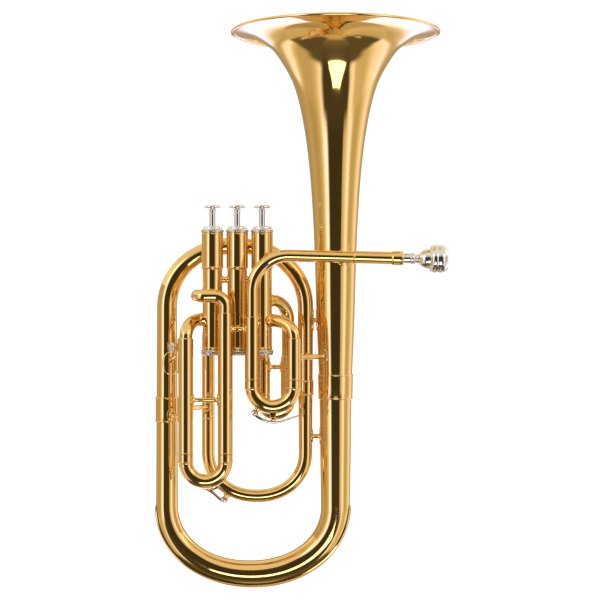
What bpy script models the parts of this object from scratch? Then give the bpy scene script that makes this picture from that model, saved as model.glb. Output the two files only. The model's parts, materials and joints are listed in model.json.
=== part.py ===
"""Alto horn: upright bell, three top-action valves and four tuning slides.

Metres, +Z up. The origin is the lowest point of the bottom bow's guard, below the middle of the bow.
The bell opens along +Z, the valves stand in front of it towards -Y, and the mouthpiece points along +X.
"""

import math

import bmesh
import bpy
from mathutils import Matrix, Vector

# Tubing
WALL = 0.0007
SEAT_GAP = 0.0003
SLIDE_FIT = 0.0003
TUBE_R = 0.0061
TUBE_SIDES = 10
RING_PROUD = 0.0003
RING_LENGTH = 0.0030
SLIDE_COLLAR = 0.0080
SLEEVE_SHOULDER = 0.0015
CROOK_STEPS = 6
FERRULE_WALL = 0.0009
BEND_STEPS = 7
NEAR = 0.0001  # stations closer than this count as one

# Planes that the tubes lie in
VALVE_Y = -0.021
FRONT_Y = -0.0385

# Bell and the tube that it stands on
BELL_X = 0.0817
BELL_SIDES = 26
RIM_Z = 0.5401
RIM_BEAD_R = 0.0016
RIM_FLAT = 0.0012
BELL_FOOT_Z = 0.1957
BELL_WALL = 0.0008
BELL_FLARE = [  # depth under the rim, outer radius
    (0.0, 0.1000),
    (0.003, 0.0880),
    (0.008, 0.0750),
    (0.016, 0.0625),
    (0.027, 0.0545),
    (0.038, 0.0470),
    (0.050, 0.0410),
    (0.066, 0.0364),
    (0.092, 0.0308),
    (0.130, 0.0256),
]
BELL_STEM = [(0.1544, 0.0213), (0.0604, 0.0182)]  # height over the foot, outer radius
BELL_FOOT_R = 0.0157

# Bottom bow and its guard
OUTER_X = -0.0817
BOW_TOP_Z = 0.0807
BOW_POWER = 2.1
BOW_FOOT_R = 0.0128
BOW_BELL_R = 0.0142
BOW_OUTER_R = 0.0107
BOW_SIDES = 14
BOW_STEPS = 10
GUARD_THICK = 0.0012
GUARD_HALF_ANGLE = math.radians(50)
GUARD_TIP_ANGLE = math.radians(24)

# Outer tube, arch over the valves and its inner leg
OUTER_JOINT_Z = 0.1734
OUTER_JOINT_R = 0.0102
ARCH_SPRING_Z = 0.2718
ARCH_RISE = 0.0602
ARCH_LEFT_R = 0.0097
ARCH_TOP_R = 0.0081
INNER_X = 0.0526
INNER_TOP_R = 0.0075
INNER_JOINT_Z = 0.1947
INNER_JOINT_R = 0.0070
ARCH_SIDES = 12
ARCH_STEPS = 8

# Inner bow
INNER_LEFT_X = -0.0416
INNER_BOW_Z = 0.1322
INNER_BOW_DROP = 0.0427
INNER_BOW_POWER = 2.15
INNER_BOW_R = 0.0065
INNER_BOW_STEPS = 8

# Ferrules over the three joints of the main tube
FERRULE_LENGTH = 0.0240
FERRULE_SIDES = 16

# Valves, numbered from the mouthpiece
VALVE_X = 0.0110
VALVE_PITCH = 0.0237
VALVE_SIDES = 16
STROKE = 0.0153
PISTON_R = 0.0083
PISTON_FIT = 0.0002
CASING_R = 0.0094
CASING_TOP_R = 0.0103
CASING_FOOT_R = 0.0091
CASING_SLOPE = 0.0008
PORT_RUN = 0.0040
PASSAGE_SIDES = 8
CASING_FOOT_Z = 0.2290
CASING_STEP_Z = 0.3098
CASING_NECK_Z = 0.3440
CASING_NECK_R = 0.0094
CAP_R = 0.0109
CAP_DOME_R = 0.0086
CAP_CEILING_Z = 0.3464
CAP_RECESS_Z = 0.3486
CAP_WALL = 0.0012
CAP_TOP_Z = 0.3501
CAP_FLANGE = 0.0022
FOOT_CAP_TOP_Z = 0.2318
FOOT_CAP_Z = 0.2265
FOOT_CAP_FLOOR = 0.0014
PORT_R = 0.0050
PORT_Z = 0.2600
LAST_PORT_Z = 0.2515
PISTON_BODY_Z = 0.3110
PISTON_TOP_Z = 0.3405
BARREL_WALL = 0.0009
PISTON_FLOOR_GAP = 0.0011
GUIDE_THICK = 0.0030
GUIDE_WIDTH = 0.0024
GUIDE_LIFT = 0.0015
GUIDE_CLEAR = 0.0004
SPRING_R = 0.0054
SPRING_WIRE_R = 0.00045
SPRING_TURNS = 5
SPRING_POINTS = 8
STEM_R = 0.0029
STEM_FLANGE = 0.0020
STEM_FLANGE_R = 0.0079
STEM_FIT = 0.0003
BUTTON_R = 0.0077
BUTTON_THICK = 0.0045
BUTTON_TOP_Z = 0.3701
CASING_BAR_Z = 0.2990
CASING_BAR_R = 0.0035

# Leadpipe, receiver and mouthpiece
PIPE_R = 0.0055
PIPE_Z = 0.3226  # height of its axis above the origin, from where it slopes down to the mouthpiece
PIPE_SLOPE = math.radians(1.5)
PIPE_BEND_R = 0.0340
PIPE_END_X = 0.0985
RECEIVER_END_X = 0.1451
RECEIVER_R = 0.0062
RECEIVER_SIDES = 12
COLLAR_R = 0.0071
COLLAR_LENGTH = 0.0108
COLLAR_EDGE = 0.0009
SHANK_R = 0.0049
SHANK_TIP_R = 0.0044
SHANK_LENGTH = 0.0200
SHANK_END_GAP = 0.0010
MOUTHPIECE_RIM_X = 0.1872
MOUTHPIECE_SIDES = 14
MOUTHPIECE_OUTSIDE = [  # depth behind the rim, radius
    (0.0354, SHANK_R),
    (0.0348, 0.0055),
    (0.0320, 0.0055),
    (0.0306, 0.0041),
    (0.0288, 0.0044),
    (0.0265, 0.0066),
    (0.0236, 0.0086),
    (0.0170, 0.0099),
    (0.0155, 0.0127),
    (0.0133, 0.0139),
    (0.0060, 0.0137),
    (0.0022, 0.0117),
    (0.0, 0.0092),
]
MOUTHPIECE_INSIDE = [(0.0010, 0.0084), (0.0100, 0.0076), (0.0175, 0.0044), (0.0230, 0.0023), (0.0260, 0.0023)]

# Main tuning slide
MAIN_LEFT_X = 0.0022
MAIN_RIGHT_X = 0.0414
MAIN_SLEEVE_TOP_Z = 0.2637
MAIN_ELBOW_Z = 0.2430
MAIN_SLEEVE_END_Z = 0.2040
MAIN_BOW_DROP = 0.0059  # from the sleeves' ends to the start of the bow
MAIN_TUBE_TOP_Z = 0.2390
PIPE_OVERLAP = 0.0050

# Third-valve slide
THIRD_LEFT_X = -0.0606
THIRD_RIGHT_X = -0.0234
THIRD_ELBOW_Z = 0.2430
THIRD_HOOK_Z = 0.2834
THIRD_SLEEVE_TOP_Z = 0.2670
THIRD_SLEEVE_END_Z = 0.1342
THIRD_BOW_DROP = 0.0075
THIRD_TUBE_TOP_Z = 0.2380
THIRD_PORT_Z = 0.2610

# First-valve slide
FIRST_LEFT_X = 0.0114
FIRST_RIGHT_X = 0.0357
FIRST_LEFT_PORT_Z = 0.2620
FIRST_RIGHT_PORT_Z = 0.2788
FIRST_RIGHT_BEND_R = 0.0190
FIRST_SLEEVE_TOP_Z = 0.2240
FIRST_SLEEVE_END_Z = 0.1880
FIRST_BOW_DROP = 0.0060
FIRST_TUBE_TOP_Z = 0.2200
LEG_BEND_R = 0.0100

# Second-valve slide, pointing away from the player's right hand
SECOND_TOP_Z = 0.2893
SECOND_LOW_Z = 0.2650
SECOND_SLEEVE_END_Y = 0.0150
SECOND_TUBE_LENGTH = 0.0200
SECOND_BOW_DROP = 0.0050

# Water keys
KEY_PIN_R = 0.0009
KEY_HUB_R = 0.0023
KEY_WIDTH = 0.0040
KEY_THICK = 0.0020
KEY_PULL = 0.4  # share of each half of the lever that its curve is drawn with
KEY_LUG = 0.0012
KEY_FIT = 0.0003
KEY_LUG_R = 0.0022
KEY_ROOT = 0.0026
NIPPLE_R = 0.0030
NIPPLE_HEIGHT = 0.0030
CORK_R = 0.0036
CORK_THICK = 0.0022
KEY_CUP_THICK = 0.0012
MAIN_KEY_SHARES = (0.308, 0.50)  # cork and pivot, along the bow
MAIN_KEY_PIVOT_HEIGHT = 0.0054
MAIN_KEY_FINGER = (0.0241, 0.0033)
BOW_KEY_SHARES = (0.69, 0.78)
BOW_KEY_PIVOT_HEIGHT = 0.0046
BOW_KEY_FINGER = (-0.0099, 0.0010)

# Lyre holder
LYRE_X = -0.0681
LYRE_R = 0.0034
LYRE_BORE_R = 0.0025
LYRE_FOOT_Z = 0.2100
LYRE_TOP_Z = 0.2430
LYRE_OUTER_Z = 0.2185
LYRE_SLIDE_Z = 0.2330
LYRE_SCREW_Z = 0.2345
LYRE_SCREW_R = 0.0014
LYRE_HEAD_R = 0.0048
LYRE_HEAD_THICK = 0.0022
LYRE_HEAD_REACH = 0.0092
LYRE_TURN = math.radians(54)
LYRE_WAIST_R = 0.0018

# Braces
BRACE_FOOT_R = 0.0042
BRACE_NECK_R = 0.0019
BRACE_WAIST_R = 0.0025
BRACE_SIDES = 8
BRACE_SEAT_SIDES = 24
BRACE_FOOT_LIP = 0.0006
BRACE_FOOT_TAPER = 0.0018
SMALL_FOOT_R = 0.0030
PIPE_BRACE_X = 0.0945
ARCH_BRACE_Z = 0.2600
SLIDE_BRACE_Z = 0.2253
BOW_BRACE_Z = 0.1477
OUTER_BRACE_Z = 0.1690
LEG_BRACE_Z = 0.1765
THIRD_BRACE_Z = 0.1852
FRONT_BRACE_Z = 0.2522
FIRST_BRACE_Z = 0.2146

X = Vector((1, 0, 0))
Y = Vector((0, 1, 0))
Z = Vector((0, 0, 1))
FINE = 12  # samples between two knots of a bend
SLEEVE_BORE = TUBE_R + SLIDE_FIT
SLEEVE_R = SLEEVE_BORE + WALL
MAIN_BOW_Z = MAIN_SLEEVE_END_Z - MAIN_BOW_DROP
THIRD_BOW_Z = THIRD_SLEEVE_END_Z - THIRD_BOW_DROP
FIRST_BOW_Z = FIRST_SLEEVE_END_Z - FIRST_BOW_DROP
SECOND_BOW_Y = SECOND_SLEEVE_END_Y + SECOND_BOW_DROP
GUARD_R = BOW_FOOT_R + SEAT_GAP + GUARD_THICK
PIPE_BASE = Vector((0, FRONT_Y, PIPE_Z))
PIPE_AXIS = Vector((math.cos(PIPE_SLOPE), 0, -math.sin(PIPE_SLOPE)))
BORE_R = PISTON_R + PISTON_FIT
PISTON_FOOT_Z = FOOT_CAP_Z + FOOT_CAP_FLOOR + STROKE + PISTON_FLOOR_GAP
VALVE_XS = [VALVE_X - VALVE_PITCH * i for i in range(3)]
FIRST_AZIMUTH = math.atan2(-VALVE_Y, FIRST_LEFT_X - VALVE_XS[0])
HIGH_AZIMUTH = math.atan2(-VALVE_Y, FIRST_RIGHT_X - VALVE_XS[0])
EXIT_AZIMUTH = math.atan2(-VALVE_Y, INNER_LEFT_X - VALVE_XS[2])
ENTRY_AZIMUTH = math.radians(-25)
HOOK_AZIMUTH = math.radians(200)
FINISHES = {
    "lacquer": ((0.83, 0.58, 0.20, 1), 1.0, 0.16),
    "silver": ((0.86, 0.85, 0.82, 1), 1.0, 0.14),
    "steel": ((0.55, 0.55, 0.57, 1), 1.0, 0.30),
}


def finish(name):
    """The material of that name, made once."""
    found = bpy.data.materials.get(name)
    if found:
        return found
    colour, metallic, roughness = FINISHES[name]
    found = bpy.data.materials.new(name)
    found.use_nodes = True
    shader = found.node_tree.nodes["Principled BSDF"]
    shader.inputs["Base Color"].default_value = colour
    shader.inputs["Metallic"].default_value = metallic
    shader.inputs["Roughness"].default_value = roughness
    return found


def piece(name, bm, surface="lacquer", origin=(0, 0, 0), parent=None):
    """An object from a mesh built in the horn's frame, with its origin moved to the given point."""
    origin = Vector(origin)
    bmesh.ops.translate(bm, verts=bm.verts, vec=-origin)
    mesh = bpy.data.meshes.new(name)
    bm.to_mesh(mesh)
    bm.free()
    mesh.shade_smooth()
    mesh.set_sharp_from_angle(angle=math.radians(35))
    mesh.materials.append(finish(surface))
    made = bpy.data.objects.new(name, mesh)
    bpy.context.scene.collection.objects.link(made)
    made.location = origin
    if parent:
        made.parent = parent
        made.location = origin - parent.location
    return made


def travel(name, at):
    """An empty that carries the pieces which move together."""
    empty = bpy.data.objects.new(name, None)
    bpy.context.scene.collection.objects.link(empty)
    empty.location = at
    empty.empty_display_size = 0.01
    return empty


def shape(target, bm, operation):
    """Cuts the mesh from the target, or joins it on, with a Boolean whose other shape stays as a guide."""
    helper = piece(f"{target.name}_guide", bm)
    helper.parent = target
    helper.location = -target.location - (target.parent.location if target.parent else Vector())
    helper.hide_render = True
    helper.display_type = "WIRE"
    modifier = target.modifiers.new(operation.lower(), "BOOLEAN")
    modifier.operation = operation
    modifier.solver = "EXACT"
    modifier.object = helper


def cut(target, bm):
    shape(target, bm, "DIFFERENCE")


def join(target, bm):
    shape(target, bm, "UNION")


def skin(rings, loop=False):
    """A closed surface through rings of corners: round in a loop, or capped at both ends."""
    bm = bmesh.new()
    made = [[bm.verts.new(p) for p in ring] for ring in rings]
    for a, b in zip(made, made[1:] + made[:1] if loop else made[1:]):
        count = max(len(a), len(b))
        for i in range(count):
            j = (i + 1) % count
            if len(a) == 1:
                bm.faces.new((a[0], b[j], b[i]))
            elif len(b) == 1:
                bm.faces.new((a[i], a[j], b[0]))
            else:
                bm.faces.new((a[i], a[j], b[j], b[i]))
    if not loop:
        for ring in (made[0], made[-1]):
            if len(ring) > 2:
                bm.faces.new(ring)
    bmesh.ops.recalc_face_normals(bm, faces=bm.faces)
    return bm


def circle(radius, sides, turn=0.0):
    """Corners of a round section, as offsets along a tube's two side directions."""
    step = math.tau / sides
    return [(radius * math.cos(step * i + turn), radius * math.sin(step * i + turn)) for i in range(sides)]


class Centreline:
    """A tube's axis, laid as straight runs and bends, and read by distance along it."""

    def __init__(self, start, heading, side=Y):
        heading = Vector(heading).normalized()
        side = Vector(side)
        if abs(heading.dot(side)) > 0.9:
            side = Vector(Z)
        self.points = [Vector(start)]
        self.headings = [heading]
        self.sides = [(side - heading * side.dot(heading)).normalized()]
        self.distances = [0.0]
        self.knots = [0.0]

    @property
    def length(self):
        return self.distances[-1]

    def add(self, point, heading):
        side = self.sides[-1]
        self.distances.append(self.length + (point - self.points[-1]).length)
        self.points.append(point)
        self.headings.append(heading)
        self.sides.append((side - heading * side.dot(heading)).normalized())

    def knot(self):
        self.knots.append(self.length)

    def run(self, length):
        self.add(self.points[-1] + self.headings[-1] * length, self.headings[-1])
        self.knot()
        return self

    def bend(self, radius, angle, side, steps=BEND_STEPS):
        """An arc that turns towards the side direction."""
        start, heading = self.points[-1], self.headings[-1]
        side = (side - heading * side.dot(heading)).normalized()
        centre = start + side * radius
        for i in range(1, FINE * steps + 1):
            a = angle * i / (FINE * steps)
            point = centre - side * radius * math.cos(a) + heading * radius * math.sin(a)
            self.add(point, heading * math.cos(a) + side * math.sin(a))
            if i % FINE == 0:
                self.knot()
        return self

    def oval(self, across, depth, side, power, steps=BEND_STEPS):
        """Half of a superellipse that turns towards the side direction and ends facing back."""
        start, heading = self.points[-1], self.headings[-1]
        half = across / 2
        points = []
        for i in range(FINE * steps + 1):
            c, s = math.cos(math.pi * i / (FINE * steps)), math.sin(math.pi * i / (FINE * steps))
            u = math.copysign(abs(c) ** (2 / power), c)
            points.append(start + side * half * (1 - u) + heading * depth * abs(s) ** (2 / power))
        for i in range(1, len(points)):
            ahead = (points[i + 1] - points[i - 1]).normalized() if i + 1 < len(points) else -heading
            self.add(points[i], ahead)
            if i % FINE == 0:
                self.knot()
        return self

    def reach(self, target, heading, pull, steps=BEND_STEPS):
        """A smooth curve to a point and a heading, with the given pull at either end."""
        start, first = self.points[-1], self.headings[-1]
        last = Vector(heading).normalized()
        a, b, c, d = start, start + first * pull[0], target - last * pull[1], target
        for i in range(1, FINE * steps + 1):
            t = i / (FINE * steps)
            u = 1 - t
            point = a * u**3 + b * 3 * u * u * t + c * 3 * u * t * t + d * t**3
            slope = (b - a) * u * u + (c - b) * 2 * u * t + (d - c) * t * t
            self.add(point, slope.normalized())
            if i % FINE == 0:
                self.knot()
        return self

    def at(self, distance):
        """Point, side and up directions at a distance along the line."""
        distance = min(max(distance, 0.0), self.length)
        i = 1
        while self.distances[i] < distance and i < len(self.distances) - 1:
            i += 1
        span = self.distances[i] - self.distances[i - 1]
        t = (distance - self.distances[i - 1]) / span if span else 0.0
        point = self.points[i - 1].lerp(self.points[i], t)
        heading = self.headings[i - 1].lerp(self.headings[i], t).normalized()
        side = self.sides[i - 1].lerp(self.sides[i], t)
        side = (side - heading * side.dot(heading)).normalized()
        return point, side, heading.cross(side)

    def place(self, distance, section):
        point, side, up = self.at(distance)
        return [point + side * u + up * v for u, v in section]


def read(profile, distance):
    """The radius at a distance, between the stations of a profile of (distance, radius)."""
    for (a, ra), (b, rb) in zip(profile, profile[1:]):
        if distance <= b:
            return ra + (rb - ra) * (distance - a) / (b - a) if b > a else rb
    return profile[-1][1]


def rings_along(line, profile, sides):
    """Round rings at the profile's own stations and at the knots of the line between them."""
    own = [d for d, _ in profile]
    extra = [k for k in line.knots if own[0] < k < own[-1] and all(abs(k - d) > NEAR for d in own)]
    stations = sorted(profile + [(k, read(profile, k)) for k in extra], key=lambda s: s[0])
    return [line.place(d, circle(r, sides)) for d, r in stations]


def tube(line, outer, bore, sides=TUBE_SIDES):
    """An open pipe along the line, from its outer and its bore profile."""
    return skin(rings_along(line, outer, sides) + rings_along(line, bore, sides)[::-1], loop=True)


def rod(line, profile, sides=TUBE_SIDES):
    return skin(rings_along(line, profile, sides))


def plain(line, radius):
    return [(0.0, radius), (line.length, radius)]


def pipe(line, radius, wall=WALL, sides=TUBE_SIDES):
    return tube(line, plain(line, radius), plain(line, radius - wall), sides)


def tapered(line, outer, sides=TUBE_SIDES):
    return tube(line, outer, [(d, r - WALL) for d, r in outer], sides)


def post(centre, axis, low, high, radius, sides=TUBE_SIDES):
    """A solid cylinder round an axis, from low to high along it."""
    axis = Vector(axis).normalized()
    line = Centreline(Vector(centre) + axis * low, axis).run(high - low)
    return rod(line, plain(line, radius), sides)


def turned(profile, sides, base=(0, 0, 0), axis=Z):
    """A turned piece: a closed outline of (radius, height), or one that starts and ends on the axis."""
    line = Centreline(Vector(base), axis)
    side, up = line.sides[0], line.headings[0].cross(line.sides[0])
    rings = []
    for radius, height in profile:
        middle = Vector(base) + line.headings[0] * height
        section = circle(radius, sides) if radius > 0 else [(0, 0)]
        rings.append([middle + side * u + up * v for u, v in section])
    return skin(rings, loop=profile[0][0] > 0)


def block(low, high):
    bm = bmesh.new()
    bmesh.ops.create_cube(bm, size=1)
    low, high = Vector(low), Vector(high)
    bmesh.ops.transform(bm, matrix=Matrix.Diagonal((*(high - low), 1)), verts=bm.verts)
    bmesh.ops.translate(bm, vec=(low + high) / 2, verts=bm.verts)
    return bm


def bell_outside():
    """Outside of the bell from the bead down to its foot, as (radius, height)."""
    flare = [(r, RIM_Z - depth) for depth, r in BELL_FLARE[1:]]
    return [*flare, *((r, BELL_FOOT_Z + height) for height, r in BELL_STEM), (BELL_FOOT_R, BELL_FOOT_Z)]


def bell_radius(z):
    """Outer radius of the bell at a height."""
    return read([(RIM_Z - height, r) for r, height in bell_outside()], RIM_Z - z)


def offset(outline, wall):
    """The outline moved inwards by the wall, square to its own slope."""
    moved = []
    for i, (r, z) in enumerate(outline):
        before, after = outline[max(i - 1, 0)], outline[min(i + 1, len(outline) - 1)]
        slope = Vector((after[0] - before[0], after[1] - before[1])).normalized()
        moved.append((r + slope.y * wall, z - slope.x * wall))
    return moved


def bell():
    """The flare and its rolled rim, whose top is a narrow flat."""
    middle = BELL_FLARE[0][1]
    outside = bell_outside()
    inside = offset(outside, BELL_WALL)
    inside[-1] = (BELL_FOOT_R - BELL_WALL, BELL_FOOT_Z)
    bead = [
        (middle - RIM_FLAT / 2, RIM_Z),
        (middle + RIM_FLAT / 2, RIM_Z),
        (middle + RIM_BEAD_R, RIM_Z - RIM_BEAD_R * 0.7),
        (middle + RIM_BEAD_R * 0.5, RIM_Z - RIM_BEAD_R * 1.8),
        (middle - RIM_BEAD_R * 0.7, RIM_Z - RIM_BEAD_R * 1.7),
    ]
    piece("bell", turned(bead + outside + inside[::-1], BELL_SIDES, base=(BELL_X, 0, 0)))


def ferrule(name, x, middle_z, low_r, high_r, sides=FERRULE_SIDES, length=FERRULE_LENGTH):
    """A short sleeve over a butt joint, tapered like the tubes, with bevelled ends."""
    low, high = low_r + SEAT_GAP, high_r + SEAT_GAP
    half, wall, bevel = length / 2, FERRULE_WALL, FERRULE_WALL * 0.6
    profile = [
        (low, middle_z - half),
        (low + wall - bevel, middle_z - half),
        (low + wall, middle_z - half + bevel),
        (high + wall, middle_z + half - bevel),
        (high + wall - bevel, middle_z + half),
        (high, middle_z + half),
    ]
    piece(name, turned(profile, sides, base=(x, 0, 0)))


def bow_line():
    """Axis of the bottom bow, from the outer tube's joint round to the bell's."""
    line = Centreline((OUTER_X, 0, OUTER_JOINT_Z), -Z).run(OUTER_JOINT_Z - BOW_TOP_Z)
    line.oval(BELL_X - OUTER_X, BOW_TOP_Z - GUARD_R, X, BOW_POWER, BOW_STEPS)
    return line.run(BELL_FOOT_Z - SEAT_GAP - BOW_TOP_Z)


def bow_profile(line):
    left, right = line.knots[1], line.knots[1 + BOW_STEPS]
    return [
        (0.0, OUTER_JOINT_R),
        (left, BOW_OUTER_R),
        ((left + right) / 2, BOW_FOOT_R),
        (right, BOW_BELL_R),
        (line.length, BELL_FOOT_R),
    ]


def bottom_bow():
    line = bow_line()
    piece("bottom_bow", tapered(line, bow_profile(line), BOW_SIDES))


def bow_guard():
    """A curved sheet that wraps the outside of the bow and narrows towards both ends."""
    line = bow_line()
    profile = bow_profile(line)
    first, last = line.knots[1], line.knots[1 + BOW_STEPS]
    rings = []
    for knot in line.knots[1 : 2 + BOW_STEPS]:
        along = math.sin(math.pi * (knot - first) / (last - first))
        half = GUARD_TIP_ANGLE + (GUARD_HALF_ANGLE - GUARD_TIP_ANGLE) * max(along, 0.0) ** 0.6
        inner = read(profile, knot) + SEAT_GAP
        outer = inner + GUARD_THICK
        angles = [-math.pi / 2 + half * k for k in (-1, -0.6, -0.2, 0.2, 0.6, 1)]
        section = [(outer * math.cos(a), outer * math.sin(a)) for a in angles]
        section += [(inner * math.cos(a), inner * math.sin(a)) for a in reversed(angles)]
        rings.append(line.place(knot, section))
    piece("bow_guard", skin(rings))


def arch_branch():
    """The outer tube, the arch behind the valves and the inner leg, in one taper."""
    line = Centreline((OUTER_X, 0, OUTER_JOINT_Z + SEAT_GAP), Z)
    line.run(ARCH_SPRING_Z - OUTER_JOINT_Z - SEAT_GAP)
    line.oval(INNER_X - OUTER_X, ARCH_RISE, X, BOW_POWER, ARCH_STEPS)
    line.run(ARCH_SPRING_Z - INNER_JOINT_Z)
    left, right = line.knots[1], line.knots[1 + ARCH_STEPS]
    outer = [
        (0.0, OUTER_JOINT_R),
        (left, ARCH_LEFT_R),
        ((left + right) / 2, ARCH_TOP_R),
        (right, INNER_TOP_R),
        (line.length, INNER_JOINT_R),
    ]
    piece("arch_branch", tapered(line, outer, ARCH_SIDES))


def seat_on_casing(body, index):
    """Cuts the end of a tube to a saddle that fits the round casing."""
    centre = (VALVE_XS[index], VALVE_Y, 0)
    cut(body, post(centre, Z, CASING_FOOT_Z, CASING_STEP_Z, CASING_R + SEAT_GAP, VALVE_SIDES))


def port(index, azimuth, z, reach):
    """A point on the ray that leaves a casing's axis, and the ray's direction."""
    out = Vector((math.cos(azimuth), math.sin(azimuth), 0))
    return Vector((VALVE_XS[index], VALVE_Y, z)) + out * reach, out


def inner_bow():
    """From the joint under the arch, round the inner bow and up its left leg into the third valve."""
    line = Centreline((INNER_X, 0, INNER_JOINT_Z - SEAT_GAP), -Z)
    line.run(INNER_JOINT_Z - SEAT_GAP - INNER_BOW_Z)
    line.oval(INNER_X - INNER_LEFT_X, INNER_BOW_DROP, -X, INNER_BOW_POWER, INNER_BOW_STEPS)
    first, last = line.knots[1], line.knots[1 + INNER_BOW_STEPS]
    line.run(LAST_PORT_Z - LEG_BEND_R - INNER_BOW_Z)
    inward = Vector((-math.cos(EXIT_AZIMUTH), -math.sin(EXIT_AZIMUTH), 0))
    line.bend(LEG_BEND_R, math.pi / 2, inward, 3)
    line.run(abs(VALVE_Y) - LEG_BEND_R)
    outer = [(0.0, INNER_JOINT_R), (first, INNER_BOW_R), (last, TUBE_R), (line.length, TUBE_R)]
    body = piece("inner_bow", tapered(line, outer))
    seat_on_casing(body, 2)
    seat = key_seat(line, first, last, BOW_KEY_SHARES, INNER_BOW_R, BOW_KEY_PIVOT_HEIGHT)
    add_key_saddle(body, seat)
    water_key("bow_water_key", seat, BOW_KEY_FINGER)


def leadpipe():
    """From the receiver, over to the left and down into the main slide's left leg."""
    bend_x = MAIN_LEFT_X + PIPE_BEND_R * (1 + math.sin(PIPE_SLOPE))
    line = Centreline(PIPE_BASE + PIPE_AXIS * PIPE_END_X, -PIPE_AXIS)
    line.run(PIPE_END_X - bend_x / math.cos(PIPE_SLOPE))
    line.bend(PIPE_BEND_R, math.pi / 2 + PIPE_SLOPE, -Z, 4)
    line.run(line.points[-1].z - MAIN_SLEEVE_TOP_Z + PIPE_OVERLAP)
    piece("leadpipe", tapered(line, [(0.0, PIPE_R), (line.length, TUBE_R)]))


def receiver():
    """The tapered socket for the mouthpiece's shank, with a collar at its mouth."""
    start, end = PIPE_END_X + SEAT_GAP, RECEIVER_END_X
    profile = [
        (PIPE_R - WALL, start),
        (RECEIVER_R, start),
        (RECEIVER_R, end - COLLAR_LENGTH),
        (COLLAR_R, end - COLLAR_LENGTH + COLLAR_EDGE),
        (COLLAR_R, end - COLLAR_EDGE),
        (COLLAR_R - COLLAR_EDGE, end),
        (SHANK_R + SEAT_GAP, end),
        (SHANK_TIP_R + SEAT_GAP, end - SHANK_LENGTH),
    ]
    piece("receiver", turned(profile, RECEIVER_SIDES, base=PIPE_BASE, axis=PIPE_AXIS))


def mouthpiece():
    """Rim, cup, throat and shank, turned in one. The shank stops short of the socket's end."""
    rim, end = MOUTHPIECE_RIM_X, RECEIVER_END_X
    tip = end - SHANK_LENGTH + SHANK_END_GAP
    outline = [(SHANK_TIP_R - WALL, tip), (SHANK_TIP_R, tip), (SHANK_R, end)]
    outline += [(r, rim - depth) for depth, r in MOUTHPIECE_OUTSIDE + MOUTHPIECE_INSIDE]
    bm = turned(outline, MOUTHPIECE_SIDES, base=PIPE_BASE, axis=PIPE_AXIS)
    piece("mouthpiece", bm, "silver", PIPE_BASE + PIPE_AXIS * end)


def sleeve(name, line, length, elbow_r=TUBE_R):
    """An outer slide tube of the given length at the start of the line, narrowing to the elbow after it."""
    step = RING_PROUD * 0.5
    outer = [
        (0.0, SLEEVE_R + RING_PROUD),
        (RING_LENGTH, SLEEVE_R + RING_PROUD),
        (RING_LENGTH + step, SLEEVE_R),
        (length, SLEEVE_R),
    ]
    bore = [(0.0, SLEEVE_BORE), (length, SLEEVE_BORE)]
    if line.length > length + step:
        outer += [(length + step, elbow_r), (line.length, elbow_r)]
        shoulder = length - SLEEVE_SHOULDER
        bore = [(0.0, SLEEVE_BORE), (shoulder, SLEEVE_BORE)]
        bore += [(shoulder + step, elbow_r - WALL), (line.length, elbow_r - WALL)]
    return piece(name, tube(line, outer, bore))


def crook(name, start, across, leg, turn, engaged, origin, parent=None):
    """An inner slide: two straight legs, the bow between them, and a collar below each sleeve's end."""
    radius = across / 2
    heading = turn[0]
    line = Centreline(start, heading).run(leg).bend(radius, math.pi, turn[1], CROOK_STEPS).run(leg)
    high = SLEEVE_R + RING_PROUD
    gap = engaged + SEAT_GAP
    bevel = (high - TUBE_R) * 0.6
    near = [(gap, TUBE_R), (gap, high), (gap + SLIDE_COLLAR - bevel, high), (gap + SLIDE_COLLAR, TUBE_R)]
    far = [(line.length - d, r) for d, r in reversed(near)]
    outer = [(0.0, TUBE_R), *near, *far, (line.length, TUBE_R)]
    body = piece(name, tube(line, outer, plain(line, TUBE_R - WALL)), origin=origin, parent=parent)
    return body, line


def main_slide():
    """Left sleeve under the leadpipe, crook, and the right sleeve whose elbow enters the first valve."""
    left = Centreline((MAIN_LEFT_X, FRONT_Y, MAIN_SLEEVE_END_Z), Z).run(MAIN_SLEEVE_TOP_Z - MAIN_SLEEVE_END_Z)
    sleeve("main_sleeve_left", left, left.length)
    straight = MAIN_ELBOW_Z - MAIN_SLEEVE_END_Z
    right = Centreline((MAIN_RIGHT_X, FRONT_Y, MAIN_SLEEVE_END_Z), Z).run(straight)
    entry, out = port(0, ENTRY_AZIMUTH, PORT_Z, CASING_R + PORT_RUN / 4)
    right.reach(entry, -out, (0.012, 0.012), 5).run(PORT_RUN)
    seat_on_casing(sleeve("main_sleeve_right", right, straight), 0)
    across, leg = MAIN_RIGHT_X - MAIN_LEFT_X, MAIN_TUBE_TOP_Z - MAIN_BOW_Z
    origin = (MAIN_LEFT_X + across / 2, FRONT_Y, MAIN_BOW_Z)
    holder = travel("main_slide_travel", origin)
    start = (MAIN_LEFT_X, FRONT_Y, MAIN_TUBE_TOP_Z)
    engaged = MAIN_TUBE_TOP_Z - MAIN_SLEEVE_END_Z
    body, line = crook("main_crook", start, across, leg, (-Z, X), engaged, origin, holder)
    seat = key_seat(line, leg, line.length - leg, MAIN_KEY_SHARES, TUBE_R, MAIN_KEY_PIVOT_HEIGHT)
    add_key_saddle(body, seat)
    water_key("main_water_key", seat, MAIN_KEY_FINGER, holder)


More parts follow.
